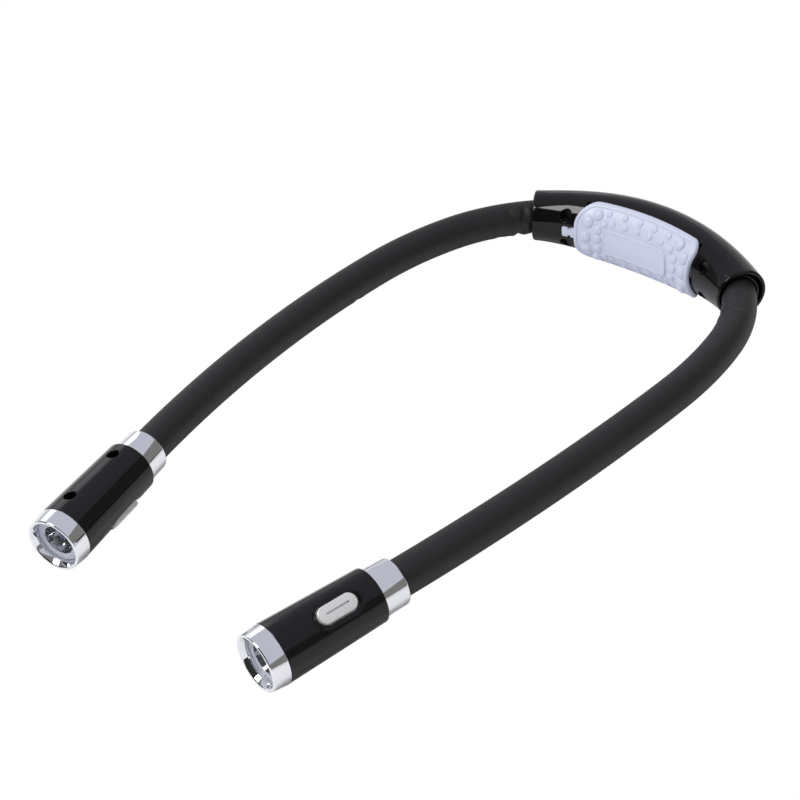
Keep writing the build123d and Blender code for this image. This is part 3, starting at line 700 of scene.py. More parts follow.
def place_on(obj, body, slot, *nodes):
    """Hands a finished piece to its body, in place of the nodes. The slot is not used."""
    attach(obj, body)
    if nodes:
        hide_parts(*nodes)


# Housing
def shell_loop(side, count=80):
    """Outer and inner (angle, growth) points of one housing shell: side 1 is the neck's, -1 the back."""
    outer_turn = pi / 2 + asin(SEAM_SETBACK / BACK_DEPTH)
    inner_turn = pi / 2 + asin(SEAM_SETBACK / (BACK_DEPTH - WALL))

    def arc(turn, growth, inset):
        if side > 0:
            low, high = -turn + inset, turn - inset
        else:
            low, high = turn + inset, 2 * pi - turn - inset
        return [(low + (high - low) * index / count, growth) for index in range(count + 1)]

    outer = arc(outer_turn, 0, SEAM_CHAMFER / BACK_DEPTH)
    edge = arc(outer_turn, -SEAM_CHAMFER, 0)
    inner = arc(inner_turn, -WALL, 0)
    return [edge[0], *outer, edge[-1]], inner[::-1]


def shell_stations(count=96):
    """Stations along the housing, with a rounded lip at each mouth."""
    lip = WALL / 2
    arc_length = HOUSING_BEND * HALF_ANGLE
    straight = 1 - lip / arc_length
    stations = [(straight * (2 * index / count - 1), 0, 0) for index in range(count + 1)]
    ends = [(straight + lip * sin(turn) / arc_length, lip * (1 - cos(turn)))
            for turn in map(radians, LIP_TURNS)]
    before = [(-share, drop, drop) for share, drop in reversed(ends)]
    return before + stations + [(share, drop, drop) for share, drop in ends]


def screw_places():
    """(x, z) of the four recesses beside the door."""
    return [(across * SCREW_SPREAD / 2, MIDDLE_Z + up * SCREW_RISE / 2) for across in (-1, 1) for up in (-1, 1)]


def recess_floor():
    """Y of the floor of the recesses."""
    return neck_face_y(SCREW_SPREAD / 2, MIDDLE_Z) + RECESS_DEPTH


def recess_tool(x, z):
    """Cutter for a screw recess, with the skin's edge rounded."""
    rings = []
    for depth, spread in hole_steps(sizes().edge_round, RECESS_CUT):
        outline = circle(x, z, RECESS_RADIUS + spread, 48)
        rings.append([(u, neck_face_y(u, w) + depth, w) for u, w in outline])
    rings.append([(u, recess_floor(), w) for u, w in outline])
    return skin("tool", rings)


def boss_tool(x, z):
    """Post that holds a recess, from inside the wall to past the recess floor."""
    outline = circle(x, z, RECESS_RADIUS + BOSS_WALL, 40)
    front = [(u, neck_face_y(u, w) + WALL / 2, w) for u, w in outline]
    rear = [(u, recess_floor() + BOSS_FLOOR, w) for u, w in outline]
    return skin("tool", [front, rear])


class NECKLIGHT_OT_housing(bpy.types.Operator):
    """Build the two glossy shells of the battery housing"""
    bl_idname = "necklight.housing"
    bl_label = "Housing shells"

    def execute(self, context):
        black = finish("gloss_black")
        stations = shell_stations()
        front = half_shell("housing_neck_shell", crescent, stations, *shell_loop(1), black)
        carve(front, [boss_tool(x, z) for x, z in screw_places()], "UNION")
        low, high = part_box("battery_door")
        near = low.y - DOOR_CUT[0]
        far = neck_face_y(0, MIDDLE_Z) + DOOR_CUT[1]
        plate_left = PAD_OVERLAP - PAD_LEFT
        opening = box_tool((plate_left - DOOR_GAP, near, low.z - DOOR_GAP), (high.x, far, high.z + DOOR_GAP))
        slot = box_tool((low.x - DOOR_GAP, near, MIDDLE_Z - LATCH_SLOT), (plate_left, far, MIDDLE_Z + LATCH_SLOT))
        carve(front, [recess_tool(x, z) for x, z in screw_places()] + [opening, slot])
        place_on(front, "housing", "shell", "neck_shell")
        back = half_shell("housing_back_shell", crescent, stations, *shell_loop(-1), black)
        place_on(back, "housing", "shell", "back_shell")
        return {"FINISHED"}


# Pad. The profiles give the inset from an outline and the height over the housing's skin, in mm
RIM_PROFILE = (
    (0, 0.3), (0, 0.95), (0.06, 1.25), (0.22, 1.55), (0.42, 1.77), (0.65, 1.89), (0.9, 1.93), (1.25, 1.9),
    (1.38, 1.82), (1.46, 1.68), (1.54, 1.57), (1.7, 1.53), (1.95, 1.54), (2.3, 1.56),
)
PANEL_PROFILE = (
    (-0.75, 1.56), (-0.5, 1.44), (-0.28, 1.4), (-0.12, 1.56), (0, 1.88), (0.12, 2.1), (0.3, 2.2),
    (0.5, 2.16), (0.75, 1.98), (1.1, 1.9),
)
FIELD_RISE = 1.56 * MM
BACK_HUB = 0.05
PANEL_HUB = 0.04

# Places of the bumps as shares of the pad's half length and half height
LARGE_BUMPS = (
    (-0.66, 0.73), (-0.79, 0.51), (-0.815, 0.055), (-0.815, -0.41), (-0.68, -0.68),
    (0.72, 0.75), (0.87, 0.5), (0.89, 0.1), (0.885, -0.32), (0.8, -0.64),
)
MEDIUM_BUMPS = (
    (-0.63, 0.33), (-0.63, 0.06), (-0.63, -0.26),
    (0.6, 0.52), (0.71, 0.34), (0.72, 0.055), (0.67, -0.29),
)
SMALL_ROW = 5
INNER_ROW = (0.21, 0.58)
OUTER_ROW = (0.25, 0.79)
ROW_END = (0.54, 0.52)
LOWER_ROWS = 0.94


def frame_outline(low_u, high_u, reach, corners, inset, counts=(60, 24, 14)):
    """Rounded rectangle of (u, v) points, inset from its edge; corners are its left and right rounding."""
    along, upright, corner_steps = counts
    left, right = (max(corner - inset, 0.02 * MM) for corner in corners)
    u0, u1, v1 = low_u + inset, high_u - inset, reach - inset
    middles = ((u1 - right, v1 - right, right, 0), (u0 + left, v1 - left, left, 1),
               (u0 + left, -v1 + left, left, 2), (u1 - right, -v1 + right, right, 3))
    points = []
    for index, (u, v, radius, quarter) in enumerate(middles):
        for step in range(corner_steps + 1):
            turn = pi / 2 * (quarter + step / corner_steps)
            points.append((u + radius * cos(turn), v + radius * sin(turn)))
        after_u, after_v, after_radius, after_quarter = middles[(index + 1) % 4]
        turn = pi / 2 * after_quarter
        goal = (after_u + after_radius * cos(turn), after_v + after_radius * sin(turn))
        steps = upright if quarter in (1, 3) else along
        here = points[-1]
        for step in range(1, steps):
            points += between([here], [goal], step / steps)
    return points


def small_bumps():
    """Two rows above the panel and two below it, each pair with a bump at its two ends."""
    places = []
    for up in (-1, 1):
        for gap, row in (INNER_ROW, OUTER_ROW):
            height = row if up > 0 else -LOWER_ROWS * row
            places += [((step - (SMALL_ROW - 1) / 2) * gap, height) for step in range(SMALL_ROW)]
        places += [(side * ROW_END[0], up * ROW_END[1]) for side in (-1, 1)]
    return places


def door_corner(up):
    """Cutter that rounds one left corner of the door's plate, so that it stays under the pad."""
    radius = PAD_CORNERS[0] - PLATE_INSET
    u, v = PAD_CORNERS[0] - PAD_LEFT, PAD_REACH - PAD_CORNERS[0]
    turns = [pi / 2 * (1 + step / 16) for step in range(17)]
    arc = [(u + radius * cos(turn), v + radius * sin(turn)) for turn in turns]
    corner = [(u - 2 * radius, v), (u - 2 * radius, v + 2 * radius), (u, v + 2 * radius)]
    low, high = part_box("battery_door")
    rings = [[(x, y, MIDDLE_Z + up * z) for x, z in arc + corner] for y in (low.y - 3 * MM, high.y + 3 * MM)]
    return skin("tool", rings)


class NECKLIGHT_OT_pad(bpy.types.Operator):
    """Build the pale pad with its rim, plain panel and bumps"""
    bl_idname = "necklight.pad"
    bl_label = "Pad"

    def execute(self, context):
        pale = finish("pale_plastic")
        middle = (PAD_RIGHT - PAD_LEFT) / 2 + PANEL_SHIFT
        whole = (-PAD_LEFT, PAD_RIGHT, PAD_REACH, PAD_CORNERS)
        panel = (middle - PANEL_LENGTH / 2, middle + PANEL_LENGTH / 2, PANEL_HEIGHT / 2, (PANEL_CORNER,) * 2)
        rim = [(frame_outline(*whole, inset * MM), growth * MM) for inset, growth in RIM_PROFILE]
        lip = [(frame_outline(*panel, inset * MM), growth * MM) for inset, growth in PANEL_PROFILE]
        (edge, _), (border, _) = rim[0], lip[0]
        (field, _), (inner, panel_rise) = rim[-1], lip[-1]
        hub = [(middle, 0.0)] * len(edge)
        layers = [(between(hub, edge, BACK_HUB + (1 - BACK_HUB) * step / 8), PAD_LIFT) for step in range(8)]
        layers += rim
        layers += [(between(field, border, step / 20), FIELD_RISE) for step in range(1, 20)]
        layers += lip
        layers += [(between(hub, inner, 1 - (1 - PANEL_HUB) * step / 11), panel_rise) for step in range(1, 12)]
        rings = [[pad_place(u, v, growth) for u, v in outline] for outline, growth in layers]
        place_on(skin("pad_cover", rings, pale), "door", "pad", "soft_pad")

        door = add("door_plate", frame["nodes"]["battery_door"].data.copy(), pale)
        carve(door, [door_corner(up) for up in (-1, 1)])
        place_on(door, "door", "door", "battery_door")

        seats, radii = [], []
        for places, radius in ((LARGE_BUMPS, sizes().large_bump), (MEDIUM_BUMPS, sizes().medium_bump),
                               (small_bumps(), sizes().small_bump)):
            seats += [bump_place(across, up, FIELD_RISE - BUMP_SINK) for across, up in places]
            radii += [radius] * len(places)
        centres, facings = zip(*seats)
        tree = scatter_tree("pad_bumps", (("Rise", "Float", 0.4),), dome_shape)
        bumps = grow("pad_bumps", centres, [], tree, {"Rise": sizes().bump_rise, "Material": pale},
                     facings, radii)
        place_on(bumps, "door", "pad")
        return {"FINISHED"}


# Necks. A fold is a travel and a width in mm, a share of the fold depth and a lean to one side
FOLDS = {
    1: ((18, 1.2, 0.84, 0.4), (21.5, 1.1, 0.9, -0.25), (26, 1.3, 0.4, 0.3)),
    -1: ((3, 1.1, 0.6, 0.3), (6.5, 1.3, 1.7, -0.15), (9.5, 1.2, 0.7, 0.4), (14, 1.5, 0.6, -0.3),
         (92, 1.5, 0.6, 0.2)),
}
FOLD_REACH = 4 * SLEEVE_RADIUS
FOLD_INWARD = 0.8
FOLD_ALL_ROUND = 0.35
RIDGE_PLACE = 1.7
RIDGE_SHARE = 0.45


class NECKLIGHT_OT_necks(bpy.types.Operator):
    """Build the two flexible sleeves, each in one piece for each of its joints"""
    bl_idname = "necklight.necks"
    bl_label = "Flexible necks"

    def fold(self, sleeve, side):
        """Presses shallow creases into the sleeve, with a low ridge on both sides of each."""
        for travel, width, depth, lean in FOLDS[side]:
            centre = neck_point(side, travel * MM)
            along = neck_direction(side, travel * MM)
            inward = along.cross(UP).normalized() * side
            for vertex in sleeve.data.vertices:
                offset = vertex.co - centre
                if offset.length > FOLD_REACH:
                    continue
                place = offset.dot(along)
                out = (offset - along * place).normalized()
                shift = (place - lean * out.z * SLEEVE_RADIUS) / (width * MM)
                share = max(out.dot(inward) * FOLD_INWARD + FOLD_ALL_ROUND, 0)
                wave = exp(-shift * shift) - RIDGE_SHARE * exp(-(abs(shift) - RIDGE_PLACE) ** 2)
                vertex.co -= out * (depth * sizes().fold_depth * wave * share)

    def execute(self, context):
        rubber = finish("sleeve_rubber")
        joints = [FIRST_JOINT + JOINT_STEP * index for index in range(NECK_LENGTHS)]
        cuts = [-ROOT_DEPTH] + [travel + JOINT_STEP / 2 for travel in joints[:-1]] + [NECK_LENGTH + SLEEVE_TAIL]
        for name, side in SIDES:
            for index, travel in enumerate(joints):
                start, end = cuts[index], cuts[index + 1]
                steps = int((end - start) / SLEEVE_STEP)
                line = [neck_point(side, start + (end - start) * step / steps) for step in range(steps + 1)]
                sleeve = grow(f"{name}_sleeve_{index + 1}", line, [(step, step + 1) for step in range(steps)],
                              once(swept_tube), {"Radius": SLEEVE_RADIUS, "Sides": sizes().sleeve_sides,
                                                 "Material": rubber})
                self.fold(sleeve, side)
                smooth(sleeve.data)
                neck_point(side, travel - min(JOINT_REACH, travel))
                neck_point(side, travel + JOINT_REACH)
                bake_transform(sleeve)
                nodes = [f"{name}_neck_{index + 1}_sleeve"]
                if index == 0:
                    nodes.append(f"{name}_neck_root_sleeve")
                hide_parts(*nodes)
        return {"FINISHED"}


# Heads
def head_surface(side, button):
    """Skin of the black body; round the button it dips."""
    matrix = head_frame(side)

    def surface(place, angle, growth):
        radius = head_radius(place)
        if button and growth > -BODY_WALL / 2:
            along = max(abs(place - BUTTON_PLACE) - (BUTTON_LENGTH - BUTTON_WIDTH) / 2, 0)
            apart = hypot(along, radius * (angle - BUTTON_TURN)) - BUTTON_WIDTH / 2
            part = min(max(1 - apart / DIMPLE_MARGIN, 0), 1)
            growth -= DIMPLE_DEPTH * part * part * (3 - 2 * part)
        reach = radius + growth
        return matrix @ Vector((reach * cos(angle), reach * sin(angle), place))
    return surface


def body_stations(count=100):
    """Stations along the black body, its two end edges rounded."""
    low, high = BEZEL_LENGTH, BODY_END
    ends = [(BODY_EDGE * (1 - sin(turn)), BODY_EDGE * (1 - cos(turn))) for turn in map(radians, (0, 25, 50, 75))]
    front = [(low + inset, drop, 0) for inset, drop in reversed(ends)]
    rear = [(high - inset, drop, 0) for inset, drop in ends]
    middle = [(low + BODY_EDGE + (high - low - 2 * BODY_EDGE) * index / count, 0, 0) for index in range(1, count)]
    return [(low, BODY_EDGE, 0)] + front + middle + rear + [(high, BODY_EDGE, 0)]


def body_loop(middle, count=110, inner_count=36):
    """Outer and inner (angle, growth) points of half the black body about a middle angle."""
    edge = BODY_SEAM / BODY_REAR_RADIUS
    low, high = middle - pi / 2, middle + pi / 2
    outer = [(low + edge + (pi - 2 * edge) * index / count, 0) for index in range(count + 1)]
    inner = [(high - pi * index / inner_count, -BODY_WALL) for index in range(inner_count + 1)]
    return [(low, -BODY_SEAM), *outer, (high, -BODY_SEAM)], inner


def body_hole(matrix, facing, place, size, floor, rounding, count):
    """Cutter for a round-ended hole of that (length, width) in the black body; facing is 1 or -1 along X."""
    rings = []
    for depth, spread in hole_steps(rounding, BODY_CUT):
        rings.append([(facing * (sqrt(head_radius(place + along) ** 2 - across ** 2) - depth), across, place + along)
                      for along, across in capsule(*size, spread, count)])
    rings.append([(facing * floor, across, place + along) for along, across in capsule(*size, 0, count)])
    return skin("tool", rings, matrix=matrix)


def body_boss(matrix, place):
    """Post that holds a screw's recess, from inside the wall to past the recess floor."""
    outline = [(place + along, across) for along, across in capsule(HEAD_BOSS_WIDTH, HEAD_BOSS_WIDTH, 0, 40)]
    front = [(-sqrt(head_radius(z) ** 2 - y ** 2) + BODY_WALL / 2, y, z) for z, y in outline]
    rear = [(-HEAD_BOSS_FLOOR, y, z) for z, y in outline]
    return skin("tool", [front, rear], matrix=matrix)


class NECKLIGHT_OT_head_bodies(bpy.types.Operator):
    """Build the glossy black bodies of the lamp heads, in two halves each"""
    bl_idname = "necklight.head_bodies"
    bl_label = "Head bodies"

    def execute(self, context):
        black = finish("gloss_black")
        slot = (BUTTON_LENGTH + 2 * BUTTON_GAP, BUTTON_WIDTH + 2 * BUTTON_GAP)
        recess = (2 * RECESS_RADIUS, 2 * RECESS_RADIUS)
        for name, side in SIDES:
            matrix = head_frame(side)
            half = half_shell(f"{name}_head_button_side", head_surface(side, True), body_stations(),
                              *body_loop(0), black)
            carve(half, [body_hole(button_frame(side), 1, BUTTON_PLACE, slot, BUTTON_SLOT_FLOOR,
                                   BUTTON_SLOT_ROUND, 64)])
            place_on(half, f"{name}_neck_4", "head", f"{name}_head_button_half")

            half = half_shell(f"{name}_head_screw_side", head_surface(side, False), body_stations(),
                              *body_loop(pi), black)
            carve(half, [body_boss(matrix, place) for place in HEAD_SCREWS], "UNION")
            carve(half, [body_hole(matrix, -1, place, recess, HEAD_SCREW_FLOOR, sizes().edge_round, 48)
                         for place in HEAD_SCREWS])
            place_on(half, f"{name}_neck_4", "head", f"{name}_head_screw_half")
        return {"FINISHED"}


# Corners of (radius, place behind the rim, rounding) in mm
BEZEL_CORNERS = (
    (8.0, 2.0, 0.2), (8.9, 0.25, 0.25), (9.2, 0.0, 0.2), (10.0, 0.0, 0.55), (10.6, 6.3, 0.25), (8.9, 6.3, 0),
    (8.9, 9.3, 0), (8.2, 9.3, 0), (8.2, 2.0, 0),
)
RING_CORNERS = (
    (5.0, 42.9, 0), (5.0, 44.5, 0), (8.5, 44.5, 0.3), (8.3, 54.0, 0.6), (6.65, 54.0, 0.3), (6.65, 46.0, 0),
    (2.6, 46.0, 0), (2.6, 42.9, 0),
)


class NECKLIGHT_OT_chrome(bpy.types.Operator):
    """Build the chrome bezels and the chrome rings at the rear of the heads"""
    bl_idname = "necklight.chrome"
    bl_label = "Bezels and rear rings"

    def execute(self, context):
        for name, side in SIDES:
            for piece, corners in (("bezel", BEZEL_CORNERS), ("rear_ring", RING_CORNERS)):
                made = lathe(f"{name}_{piece}", rounded(corners), finish("bright_chrome"), head_frame(side), 144)
                place_on(made, f"{name}_neck_4", "chrome", f"{name}_head_{piece}")
        return {"FINISHED"}


# Lamps, in mm behind the rim and from the middle
LENS_FRONT, LENS_BACK = 2.0, 3.0
LENS_RADIUS = 8.1
COLLAR_BACK = LENS_BACK + 1.15
SHELF = LENS_BACK + 1.2
BOWL_FRONT = LENS_BACK + 0.4
BOWL_BACK = 8.6
BOWL_RIM = 5.5
BOWL_THROAT = 2.3
LAMP_SEAT = BOWL_BACK - 1.2
LAMP_RADIUS = 2.1
DOME_BACK = LAMP_SEAT - 0.05
DOME_HEIGHT = 2.7
CHIP_FRONT, CHIP_BACK = LAMP_SEAT - 1.2, LAMP_SEAT + 0.05


def lamp_pieces():
    """Pieces of a lamp: name, outline, finish, segments, slot and the node it replaces."""
    bowl = [(BOWL_RIM + 0.25, BOWL_FRONT + 0.05), (BOWL_RIM, BOWL_FRONT - 0.05)]
    for step in range(1, 17):
        part = 1 - step / 16
        bowl.append((BOWL_THROAT + (BOWL_RIM - BOWL_THROAT) * part,
                     BOWL_FRONT + (LAMP_SEAT - BOWL_FRONT) * (1 - part ** 2)))
    bowl += [(BOWL_THROAT, BOWL_BACK), (LENS_RADIUS, BOWL_BACK), (LENS_RADIUS, SHELF), (BOWL_RIM + 0.6, SHELF)]
    collar = rounded([
        (LENS_RADIUS, LENS_BACK + 0.2, 0.1), (LENS_RADIUS, COLLAR_BACK, 0), (BOWL_RIM + 0.3, COLLAR_BACK, 0),
        (BOWL_RIM + 0.15, LENS_BACK + 0.2, 0.2)])
    lens = rounded([(0, LENS_FRONT, 0), (LENS_RADIUS, LENS_FRONT, 0.15), (LENS_RADIUS, LENS_BACK, 0.15),
                    (0, LENS_BACK, 0)], 3)
    base = rounded([(0, LAMP_SEAT, 0), (LAMP_RADIUS, LAMP_SEAT, 0.15), (LAMP_RADIUS, BOWL_BACK, 0),
                    (0, BOWL_BACK, 0)], 3)
    chip = rounded([(0, CHIP_FRONT, 0), (1.1, CHIP_FRONT, 0.2), (1.3, CHIP_BACK, 0), (0, CHIP_BACK, 0)], 3)
    turns = [pi / 2 * step / 12 for step in range(13)]
    dome = [(LAMP_RADIUS * sin(turn), DOME_BACK - DOME_HEIGHT * cos(turn)) for turn in turns]
    dome.append((0, DOME_BACK))
    return (
        ("lens", lens, "clear_plastic", 112, "lens", "lens"),
        # The bowl's dark mirror finish paints the shade inside the deep bowl.
        ("bowl", bowl, "bowl_mirror", 112, "reflector", "reflector"),
        ("collar", collar, "collar_white", 112, "reflector", None),
        ("lamp_base", base, "collar_white", 48, "led", "led"),
        ("lamp_chip", chip, "phosphor", 32, "led", None),
        ("lamp_dome", dome, "lamp_glass", 48, "led", None),
    )


class NECKLIGHT_OT_lamps(bpy.types.Operator):
    """Build the front disc, collar, bright bowl and lamp of each head"""
    bl_idname = "necklight.lamps"
    bl_label = "Lamps"

    def execute(self, context):
        for name, side in SIDES:
            for piece, outline, look, segments, slot, node in lamp_pieces():
                made = lathe(f"{name}_{piece}", outline, finish(look), head_frame(side), segments)
                place_on(made, f"{name}_neck_4", slot, *([f"{name}_head_{node}"] if node else []))
        return {"FINISHED"}


# Buttons, in mm: (spread, drop from the top) over the crown, (lift, spread) down the engraved line
CROWN_STEPS = ((-0.9, 0.19), (-1.5, 0.1), (-2.2, 0.03), (-2.85, 0.0))
LINE_STEPS = ((0.6, 0.1), (0.0, 0.05), (-0.8, 0.0))
LINE_SIZE = (8.6 * MM, 0.5 * MM)


class NECKLIGHT_OT_buttons(bpy.types.Operator):
    """Build the satin push buttons with their engraved line"""
    bl_idname = "necklight.buttons"
    bl_label = "Push buttons"

    def execute(self, context):
        edge = BUTTON_TOP - CROWN_DROP
        steps = [(FLANGE_WIDTH, FLANGE_BOTTOM), (FLANGE_WIDTH, FLANGE_TOP), (0, FLANGE_TOP), (0, edge - BUTTON_ROUND)]
        steps += [(-BUTTON_ROUND * (1 - cos(turn)), edge - BUTTON_ROUND * (1 - sin(turn)))
                  for turn in map(radians, (0, 18, 36, 54, 72, 90))]
        steps += [(spread * MM, BUTTON_TOP - drop * MM) for spread, drop in CROWN_STEPS]
        rings = [[(height, across, BUTTON_PLACE + along)
                  for along, across in capsule(BUTTON_LENGTH, BUTTON_WIDTH, spread, 96)]
                 for spread, height in steps]
        line = [[(BUTTON_TOP + lift * MM, across, BUTTON_PLACE + along)
                 for along, across in capsule(*LINE_SIZE, spread * MM, 24)]
                for lift, spread in LINE_STEPS]
        for name, side in SIDES:
            matrix = button_frame(side)
            button = skin(f"{name}_button", rings, finish("satin_silver"), matrix)
            carve(button, [skin("tool", line, matrix=matrix)])
            place_on(button, f"{name}_button", "button", f"{name}_head_button")
        return {"FINISHED"}


class NECKLIGHT_OT_screws(bpy.types.Operator):
    """Set the screws at the bottom of their recesses"""
    bl_idname = "necklight.screws"
    bl_label = "Screws"

    def execute(self, context):
        tree = scatter_tree("screw_heads", (), screw_shape)
        points = [Vector((x, recess_floor(), z)) for x, z in screw_places()]
        groups = [("housing", "housing", points, Vector((0, -1, 0)), SCREW_RADIUS)]
        for name, side in SIDES:
            matrix = head_frame(side)
            points = [matrix @ Vector((-HEAD_SCREW_FLOOR, 0, place)) for place in HEAD_SCREWS]
            groups.append((name, f"{name}_neck_4", points, -matrix.to_3x3().col[0], HEAD_SCREW_RADIUS))
        for name, body, points, facing, radius in groups:
            heads = grow(f"{name}_screw_heads", points, [], tree, {"Material": finish("dark_steel")},
                         [facing] * len(points), [radius] * len(points))
            smooth(heads.data)
            place_on(heads, body, "screw")
        return {"FINISHED"}


class NECKLIGHT_OT_inner_parts(bpy.types.Operator):
    """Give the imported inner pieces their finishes"""
    bl_idname = "necklight.inner_parts"
    bl_label = "Inner pieces"

    def execute(self, context):
        slots = {part["node"]: part["material_slot"] for part in frame["record"]["subparts"]}
        for node, obj in frame["nodes"].items():
            obj.data.materials.clear()
            obj.data.materials.append(finish(SLOT_FINISHES[slots[node]]))
        return {"FINISHED"}


# Stage
CAMERA_PLACE = Vector((0.4319, -0.4753, 0.4605))
CAMERA_AZIMUTH = radians(43.46)
CAMERA_ELEVATION = radians(34.98)
CAMERA_ROLL = radians(3.57)
CAMERA_LENS = 99.6
SENSOR = 36.0
FLOOR_HALF = 3.0

# Area lights: direction from the object, distance, width and height, radiance
LIGHTS = {
    "overhead_light": ((-0.28, -0.5, 0.82), 1.2, (0.44, 0.52), 10.5),
    "side_light": ((-0.85, 0.25, 0.5), 1.25, (0.5, 0.5), 0.9),
}

# Studio of the reflections: its walls and where they meet, as parts of a unit direction
WHITE = (1.0, 1.0, 1.0)
EVEN_LIGHT = (0.6, 0.6, 0.62)
CEILING = (0.55, 0.56, 0.63)
PALE_WALL = (0.68, 0.7, 0.71)
GREY_WALL = (0.2, 0.2, 0.19)
DARK_FRONT = (0.03, 0.03, 0.03)
CEILING_LEAN = (0.2, 0.5)
CEILING_EDGE = 0.23
CEILING_FRONT = -0.3
PALE_BELOW = 0.03
PALE_LEFT = 0.1
PALE_LEFT_FRONT = -0.25
FRONT_EDGE = -0.45
EDGE_SOFTNESS = 0.03


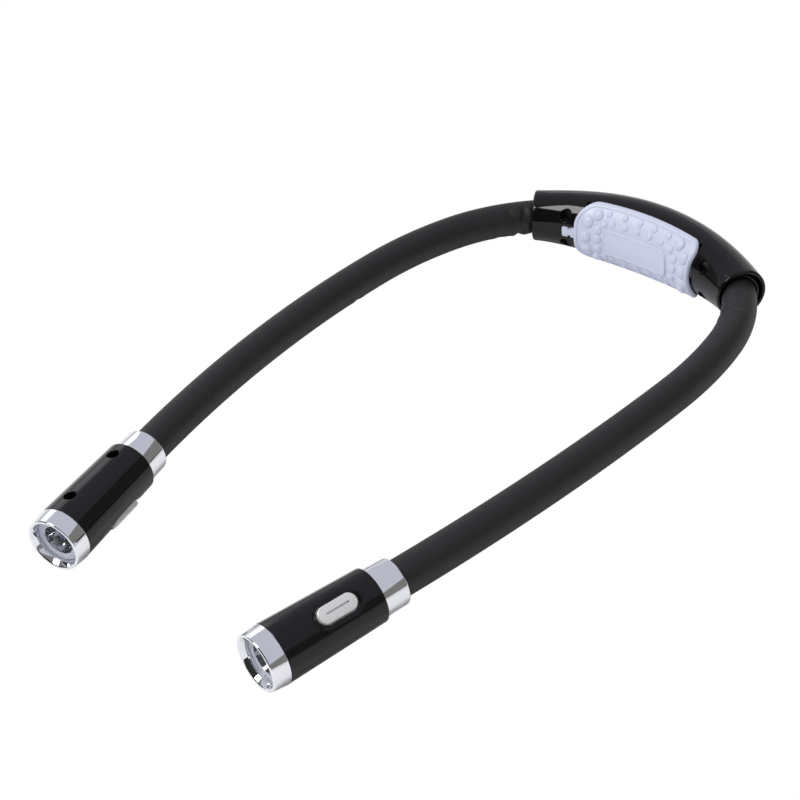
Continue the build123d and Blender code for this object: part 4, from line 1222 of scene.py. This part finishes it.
class NECKLIGHT_OT_stage(bpy.types.Operator):
    """Set up the floor, the lights, the world and the camera"""
    bl_idname = "necklight.stage"
    bl_label = "Stage"

    def execute(self, context):
        scene = context.scene
        scene.view_settings.view_transform = "Standard"
        self.camera(scene)
        corners = [(x * FLOOR_HALF, y * FLOOR_HALF, 0) for x, y in ((-1, -1), (1, -1), (1, 1), (-1, 1))]
        build("floor", corners, [(0, 1, 2, 3)], self.floor_material())
        self.world(scene)
        for name, light in LIGHTS.items():
            self.light(scene, name, *light)
        return {"FINISHED"}

    def camera(self, scene):
        """Camera at the place it was fitted to, rolled about its own axis."""
        data = bpy.data.cameras.new("camera")
        data.lens = CAMERA_LENS
        data.sensor_width = SENSOR
        data.clip_start = 0.01
        camera = bpy.data.objects.new("camera", data)
        scene.collection.objects.link(camera)
        flat = cos(CAMERA_ELEVATION)
        back = Vector((sin(CAMERA_AZIMUTH) * flat, -cos(CAMERA_AZIMUTH) * flat, sin(CAMERA_ELEVATION)))
        level = UP.cross(back).normalized()
        upright = back.cross(level)
        right = level * cos(CAMERA_ROLL) - upright * sin(CAMERA_ROLL)
        above = level * sin(CAMERA_ROLL) + upright * cos(CAMERA_ROLL)
        turned = Matrix((right, above, back)).transposed().to_4x4()
        camera.matrix_world = Matrix.Translation(CAMERA_PLACE) @ turned
        scene.camera = camera

    def floor_material(self):
        """White to the camera and through the clear pieces, a pale matte floor to all other light."""
        material = bpy.data.materials.new("floor_white")
        material.use_nodes = True
        tree = material.node_tree
        shader = tree.nodes["Principled BSDF"]
        shader.inputs["Base Color"].default_value = (0.9, 0.9, 0.9, 1)
        shader.inputs["Roughness"].default_value = 0.9
        path = put(tree, "ShaderNodeLightPath").outputs
        seen = put(tree, "ShaderNodeMath", {0: path["Is Camera Ray"], 1: path["Is Transmission Ray"]},
                   operation="MAXIMUM")
        mix = put(tree, "ShaderNodeMixShader", {0: seen, 1: shader, 2: put(tree, "ShaderNodeEmission")})
        tree.links.new(mix.outputs[0], tree.nodes["Material Output"].inputs["Surface"])
        return material

    def world(self, scene):
        """Even light for the matte finishes and a studio of pale and dark walls for the reflections."""
        world = bpy.data.worlds.new("studio")
        world.use_nodes = True
        scene.world = world
        tree = world.node_tree

        def math(operation, first, second):
            return put(tree, "ShaderNodeMath", {0: first, 1: second}, operation=operation)

        def step(value, edge):
            return put(tree, "ShaderNodeMapRange", {
                "Value": value, "From Min": edge - EDGE_SOFTNESS, "From Max": edge + EDGE_SOFTNESS},
                interpolation_type="SMOOTHSTEP")

        def mix(share, first, second):
            first, second = ((*value, 1) if isinstance(value, tuple) else value for value in (first, second))
            return put(tree, "ShaderNodeMix", {0: share, 6: first, 7: second}, data_type="RGBA").outputs[2]

        where = put(tree, "ShaderNodeTexCoord").outputs["Generated"]
        x, y, z = put(tree, "ShaderNodeSeparateXYZ", {0: where}).outputs
        lean = math("ADD", math("MULTIPLY", x, CEILING_LEAN[0]), math("MULTIPLY", y, CEILING_LEAN[1]))
        above = step(math("SUBTRACT", z, lean), CEILING_EDGE)
        left = math("MULTIPLY", step(math("MULTIPLY", x, -1.0), PALE_LEFT), step(y, PALE_LEFT_FRONT))
        low = math("SUBTRACT", 1.0, step(z, PALE_BELOW))
        wall = mix(math("MAXIMUM", low, left), GREY_WALL, PALE_WALL)
        front = mix(math("SUBTRACT", 1.0, step(y, FRONT_EDGE)), wall, DARK_FRONT)
        studio = mix(math("MULTIPLY", above, step(y, CEILING_FRONT)), front, CEILING)
        path = put(tree, "ShaderNodeLightPath").outputs
        lit = mix(path["Is Diffuse Ray"], studio, EVEN_LIGHT)
        seen = mix(path["Is Camera Ray"], lit, WHITE)
        tree.links.new(seen, tree.nodes["Background"].inputs["Color"])

    def light(self, scene, name, direction, distance, size, radiance):
        """An area light of that radiance, facing the object's middle."""
        aim = Vector((0, 0, MIDDLE_Z))
        data = bpy.data.lights.new(name, "AREA")
        data.shape = "RECTANGLE"
        data.size, data.size_y = size
        data.energy = radiance * pi * size[0] * size[1]
        light = bpy.data.objects.new(name, data)
        scene.collection.objects.link(light)
        light.location = aim + Vector(direction).normalized() * distance
        light.rotation_euler = (aim - light.location).to_track_quat("-Z", "Y").to_euler()


OPERATORS = (
    NECKLIGHT_OT_stage, NECKLIGHT_OT_inner_parts, NECKLIGHT_OT_housing, NECKLIGHT_OT_pad, NECKLIGHT_OT_necks,
    NECKLIGHT_OT_head_bodies, NECKLIGHT_OT_chrome, NECKLIGHT_OT_lamps, NECKLIGHT_OT_buttons,
    NECKLIGHT_OT_screws,
)


class NECKLIGHT_PT_panel(bpy.types.Panel):
    """Lists the pieces of the light"""
    bl_idname = "NECKLIGHT_PT_panel"
    bl_label = "Neck reading light"
    bl_space_type = "VIEW_3D"
    bl_region_type = "UI"
    bl_category = "Neck light"

    def draw(self, context):
        layout = self.layout
        for operator in OPERATORS:
            layout.operator(operator.bl_idname)
        for group in (context.scene.neck_light_sizes, context.scene.neck_light_colours):
            box = layout.box()
            for name in group.__annotations__:
                box.prop(group, name)


CLASSES = (NeckLightSizes, NeckLightColours, *OPERATORS, NECKLIGHT_PT_panel)


def register():
    for cls in CLASSES:
        bpy.utils.register_class(cls)
    bpy.types.Scene.neck_light_sizes = PointerProperty(type=NeckLightSizes)
    bpy.types.Scene.neck_light_colours = PointerProperty(type=NeckLightColours)


def unregister():
    del bpy.types.Scene.neck_light_colours
    del bpy.types.Scene.neck_light_sizes
    for cls in reversed(CLASSES):
        bpy.utils.unregister_class(cls)


def main():
    register()
    for operator in OPERATORS:
        space, name = operator.bl_idname.split(".")
        getattr(getattr(bpy.ops, space), name)()
    bpy.context.view_layer.update()


if __name__ == "__main__":
    main()
